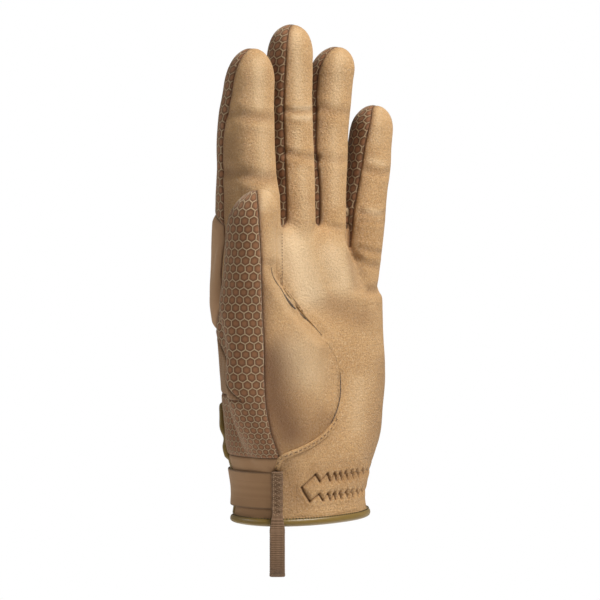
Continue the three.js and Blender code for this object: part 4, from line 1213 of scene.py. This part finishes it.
def tape(name, points, node, widths, raised=0.5, material=side_leather):
    """A flat tape on the skin: widths are its half width at its start, soon after it and at its end"""
    line = drawn(points, 0.0)

    def place(u, v):
        at = u * (len(line) - 1)
        i = min(int(at), len(line) - 2)
        (a, l), (b, m) = line[i:i + 2]
        middle, normal = a.lerp(b, at - i), l.lerp(m, at - i).normalized()
        (before, _), (after, _) = line[max(i - 1, 0)], line[min(i + 2, len(line) - 1)]
        side = (after - before).normalized().cross(normal).normalized()
        w, out = oval(v * 2 * math.pi, float(np.interp(u, [0, 0.12, 1], widths)), raised, 3)
        return middle + side * w + normal * (out + raised * 0.4)
    sewn_strip(name, len(line) * 2, 14, place, material, (40, 6), [node] if node else ())


tape("thumb_tape", THUMB_TAPE, "thumb_welt", (0.35, 1.3, 1.3))
tape("fold_tape", FOLD_TAPE, "fold_welt", (0.7, 1.15, 0.3), 0.4)
# Thin dark leather strips that paint the shadow in the fold's slit, along the fold's edge and along the seam
# of the ball
shadow_strip_leather = leather("fold_shadow", SLIT_SHADOW_LIGHT, SLIT_SHADOW_DEEP, SLIT_SHADOW_DARK)
tape("fold_slit_shadow", FOLD_SLIT, None, (0.1, 0.5, 0.07), 0.14, shadow_strip_leather)
tape("fold_edge_shadow", FOLD_EDGE, None, (0.03, 0.12, 0.16), 0.1, shadow_strip_leather)
tape("thumb_ball_seam_shadow", BALL_SEAM, None, (0.05, 0.2, 0.24), 0.12, shadow_strip_leather)

# The stitches: short lengths of thread that lie in the seams, round the tapes, along the hem and the strap's
# end, and in a box with bars on the loop. Each length is a small pointed bead, with its pitch, length and
# thickness in millimetres.
DARK_THREAD, LIGHT_THREAD = ((104, 76, 50), (74, 52, 34)), ((170, 140, 108), (140, 112, 82))
OLIVE_THREAD = ((70, 56, 30), (50, 40, 22))
STRAP_SEAM = -61.5       # degrees round the wrist
BOX_HALF, BOX_TOP, BOX_LOW = 1.5, 22.4, 5.2
BAR_HALF, BAR_TOP, BAR_STEP, BARS = 1.2, 21.6, 0.95, 9
ON_LOOP = 1.12           # from the fold's middle to the stitches


def stitch_spots(line, pitch):
    """Points every pitch along a line of (point, way out), with the way along"""
    spots = []
    left = pitch / 2
    for (a, n), (b, m) in zip(line, line[1:]):
        span = (b - a).length
        while left < span:
            spots.append((a.lerp(b, left / span), n.lerp(m, left / span).normalized(),
                          (b - a).normalized()))
            left += pitch
        left -= span
    return spots


def stitches(name, yarn, runs):
    """A piece of thread lengths along its runs: line, pitch, length and thickness"""
    bm = bmesh.new()
    for line, pitch, length, thick in runs:
        for at, out, along in stitch_spots(line, pitch):
            side = out.cross(along).normalized()
            turn = Matrix((along, side, side.cross(along) * -1)).transposed().to_4x4()
            size = Matrix.Diagonal((length / 2 * MM, thick / 2 * MM, thick / 2 * MM, 1))
            place = Matrix.Translation(at * MM) @ turn @ size
            bmesh.ops.create_icosphere(bm, subdivisions=1, radius=1, matrix=place)
    for f in bm.faces:
        f.smooth = True
    bmesh.ops.recalc_face_normals(bm, faces=bm.faces)
    piece = glove_piece(name, bm)
    piece.data.materials.append(yarn)
    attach(piece, "root")


def sewing_thread(name, light, deep):
    """Twisted thread in two tones"""
    material, tree, shader, place = soft_finish(name, 0.7, 0.2)
    tree.links.new(blend_colour(tree, soft_patches(tree, place, 2.0), linear(*light), linear(*deep)),
                   shader.inputs["Base Color"])
    strands = add_node(tree, "TexNoise", {"Vector": place, "Scale": 6, "Detail": 2})
    tree.links.new(raised_grain(tree, strands.outputs["Fac"], 0.05), shader.inputs["Normal"])
    return material


def wrist_line(turns, z, out):
    """A line round the cuff at one height"""
    line = []
    for turn in turns:
        at = Vector(wrist_point(turn, z, out))
        line.append((at, (at - Vector(wrist_point(turn, z, out - 1))).normalized()))
    return line


def cross_stitches(points, lift, pitch, half):
    """Small crosses along a line"""
    line, legs = drawn(points, lift), []
    for at, out, along in stitch_spots(line, pitch):
        side = out.cross(along).normalized()
        for way in (1, -1):
            step = along * (pitch * 0.42) + side * half * way
            legs.append(([(at - step, out), (at + step, out)], (step * 2).length, (step * 2).length, 0.34))
    return legs


def on_loop(w, z):
    """A place on the loop's outer face"""
    out = float(np.interp(z, LOOP_HEIGHTS, LOOP_SHIFTS)) + ON_LOOP
    return (Vector((*LOOP_AT, z)) + face_across * w + face_out * out, face_out)


dark_thread, light_thread, olive_thread = (
    sewing_thread(name, *tones) for name, tones in
    (("dark_thread", DARK_THREAD), ("light_thread", LIGHT_THREAD), ("olive_thread", OLIVE_THREAD)))
stitches("index_seam_stitching", dark_thread,
         [(drawn([(-8.5, 121.5), (-8.5, 97.5)], 0.1), 1.3, 0.8, 0.36),
          (drawn([(-9.3, 104), (-8.9, 97.8)], 0.1), 1.3, 0.8, 0.3)])
stitches("tape_stitching", dark_thread,
         cross_stitches(THUMB_TAPE, 0.62, 2.4, 0.45) + cross_stitches(FOLD_TAPE[:3], 0.5, 1.9, 0.4))
stitches("hem_stitching", olive_thread,
         [(wrist_line(np.linspace(HEM_START + 2, HEM_END - 2, 200), 3.35, 0.7), 1.35, 1.0, 0.5)])
strap_end = [(Vector(wrist_point(STRAP_SEAM, z, 0.95)),
              Vector(wrist_point(STRAP_SEAM, z, 1)) - Vector(wrist_point(STRAP_SEAM, z, 0)))
             for z in np.linspace(8.8, 24, 10)]
stitches("strap_stitching", dark_thread, [(strap_end, 1.3, 0.9, 0.4)])
face_out, face_across = Vector((*LOOP_OUT, 0)), Vector((-LOOP_OUT[1], LOOP_OUT[0], 0))
box = [on_loop(w, z) for w, z in ((-BOX_HALF, BOX_TOP), (BOX_HALF, BOX_TOP), (BOX_HALF, BOX_LOW),
                                  (-BOX_HALF, BOX_LOW), (-BOX_HALF, BOX_TOP))]
bars = []
for k in range(BARS):
    z = BAR_TOP - 2 * BAR_STEP * k
    bars.append(([on_loop(-BAR_HALF, z), on_loop(BAR_HALF, z - BAR_STEP)], 0.8, 0.62, 0.3))
    bars.append(([on_loop(BAR_HALF, z - BAR_STEP), on_loop(-BAR_HALF, z - 2 * BAR_STEP)], 0.8, 0.62, 0.3))
stitches("loop_stitching", light_thread, [(box, 0.9, 0.7, 0.32)] + bars)

# The background: a pale floor well below the glove, a large soft key light from the upper right, two weak
# fills and a white room.
FLOOR_LOW, FLOOR_RADIUS, FLOOR_WHITE = -0.3, 0.5, (0.95, 0.95, 0.95, 1)
ROOM_LIGHT = 0.2         # what the white room adds to the lamps
floor_mesh = bmesh.new()
bmesh.ops.create_circle(floor_mesh, cap_ends=True, segments=96, radius=FLOOR_RADIUS)
bmesh.ops.translate(floor_mesh, verts=floor_mesh.verts, vec=(0, 0, FLOOR_LOW))
floor = glove_piece("floor", floor_mesh)
floor_paint = bpy.data.materials.new("floor_white")
floor_paint.use_nodes = True
floor_shader = floor_paint.node_tree.nodes["Principled BSDF"]
floor_shader.inputs["Base Color"].default_value = FLOOR_WHITE
floor_shader.inputs["Roughness"].default_value = 0.9
floor_shader.inputs["Emission Color"].default_value = (1, 1, 1, 1)
floor_shader.inputs["Emission Strength"].default_value = 0.7
floor.data.materials.append(floor_paint)

# Each lamp: watts, size, and where it stands from the glove, in metres
right = look.cross(Vector((0, 0, 1))).normalized()
for name, energy, size, where in (("key", 20, 0.35, -look * 0.36 + right * 0.62 + Vector((0, 0, 0.9))),
                                  ("front", 1.8, 0.4, -look * 0.95 + right * 0.25 + Vector((0, 0, 0.3))),
                                  ("left", 3.4, 0.5, -look * 0.15 - right * 1.0 + Vector((0, 0, 0.35)))):
    lamp = bpy.data.objects.new(name, bpy.data.lights.new(name, "AREA"))
    lamp.data.energy, lamp.data.size = energy, size
    lamp.location = TARGET * MM + where
    lamp.rotation_euler = (-where).to_track_quat("-Z", "Y").to_euler()
    bpy.context.scene.collection.objects.link(lamp)
world = bpy.data.worlds.new("white_room")
bpy.context.scene.world = world
world.use_nodes = True
room = world.node_tree
ray = room.nodes.new("ShaderNodeLightPath")
strength = room.nodes.new("ShaderNodeMapRange")
room.links.new(ray.outputs["Is Camera Ray"], strength.inputs["Value"])
strength.inputs["To Min"].default_value, strength.inputs["To Max"].default_value = ROOM_LIGHT, 1.0
room.nodes["Background"].inputs["Color"].default_value = (1, 1, 1, 1)
room.links.new(strength.outputs[0], room.nodes["Background"].inputs["Strength"])
bpy.context.scene.view_settings.view_transform = "Standard"
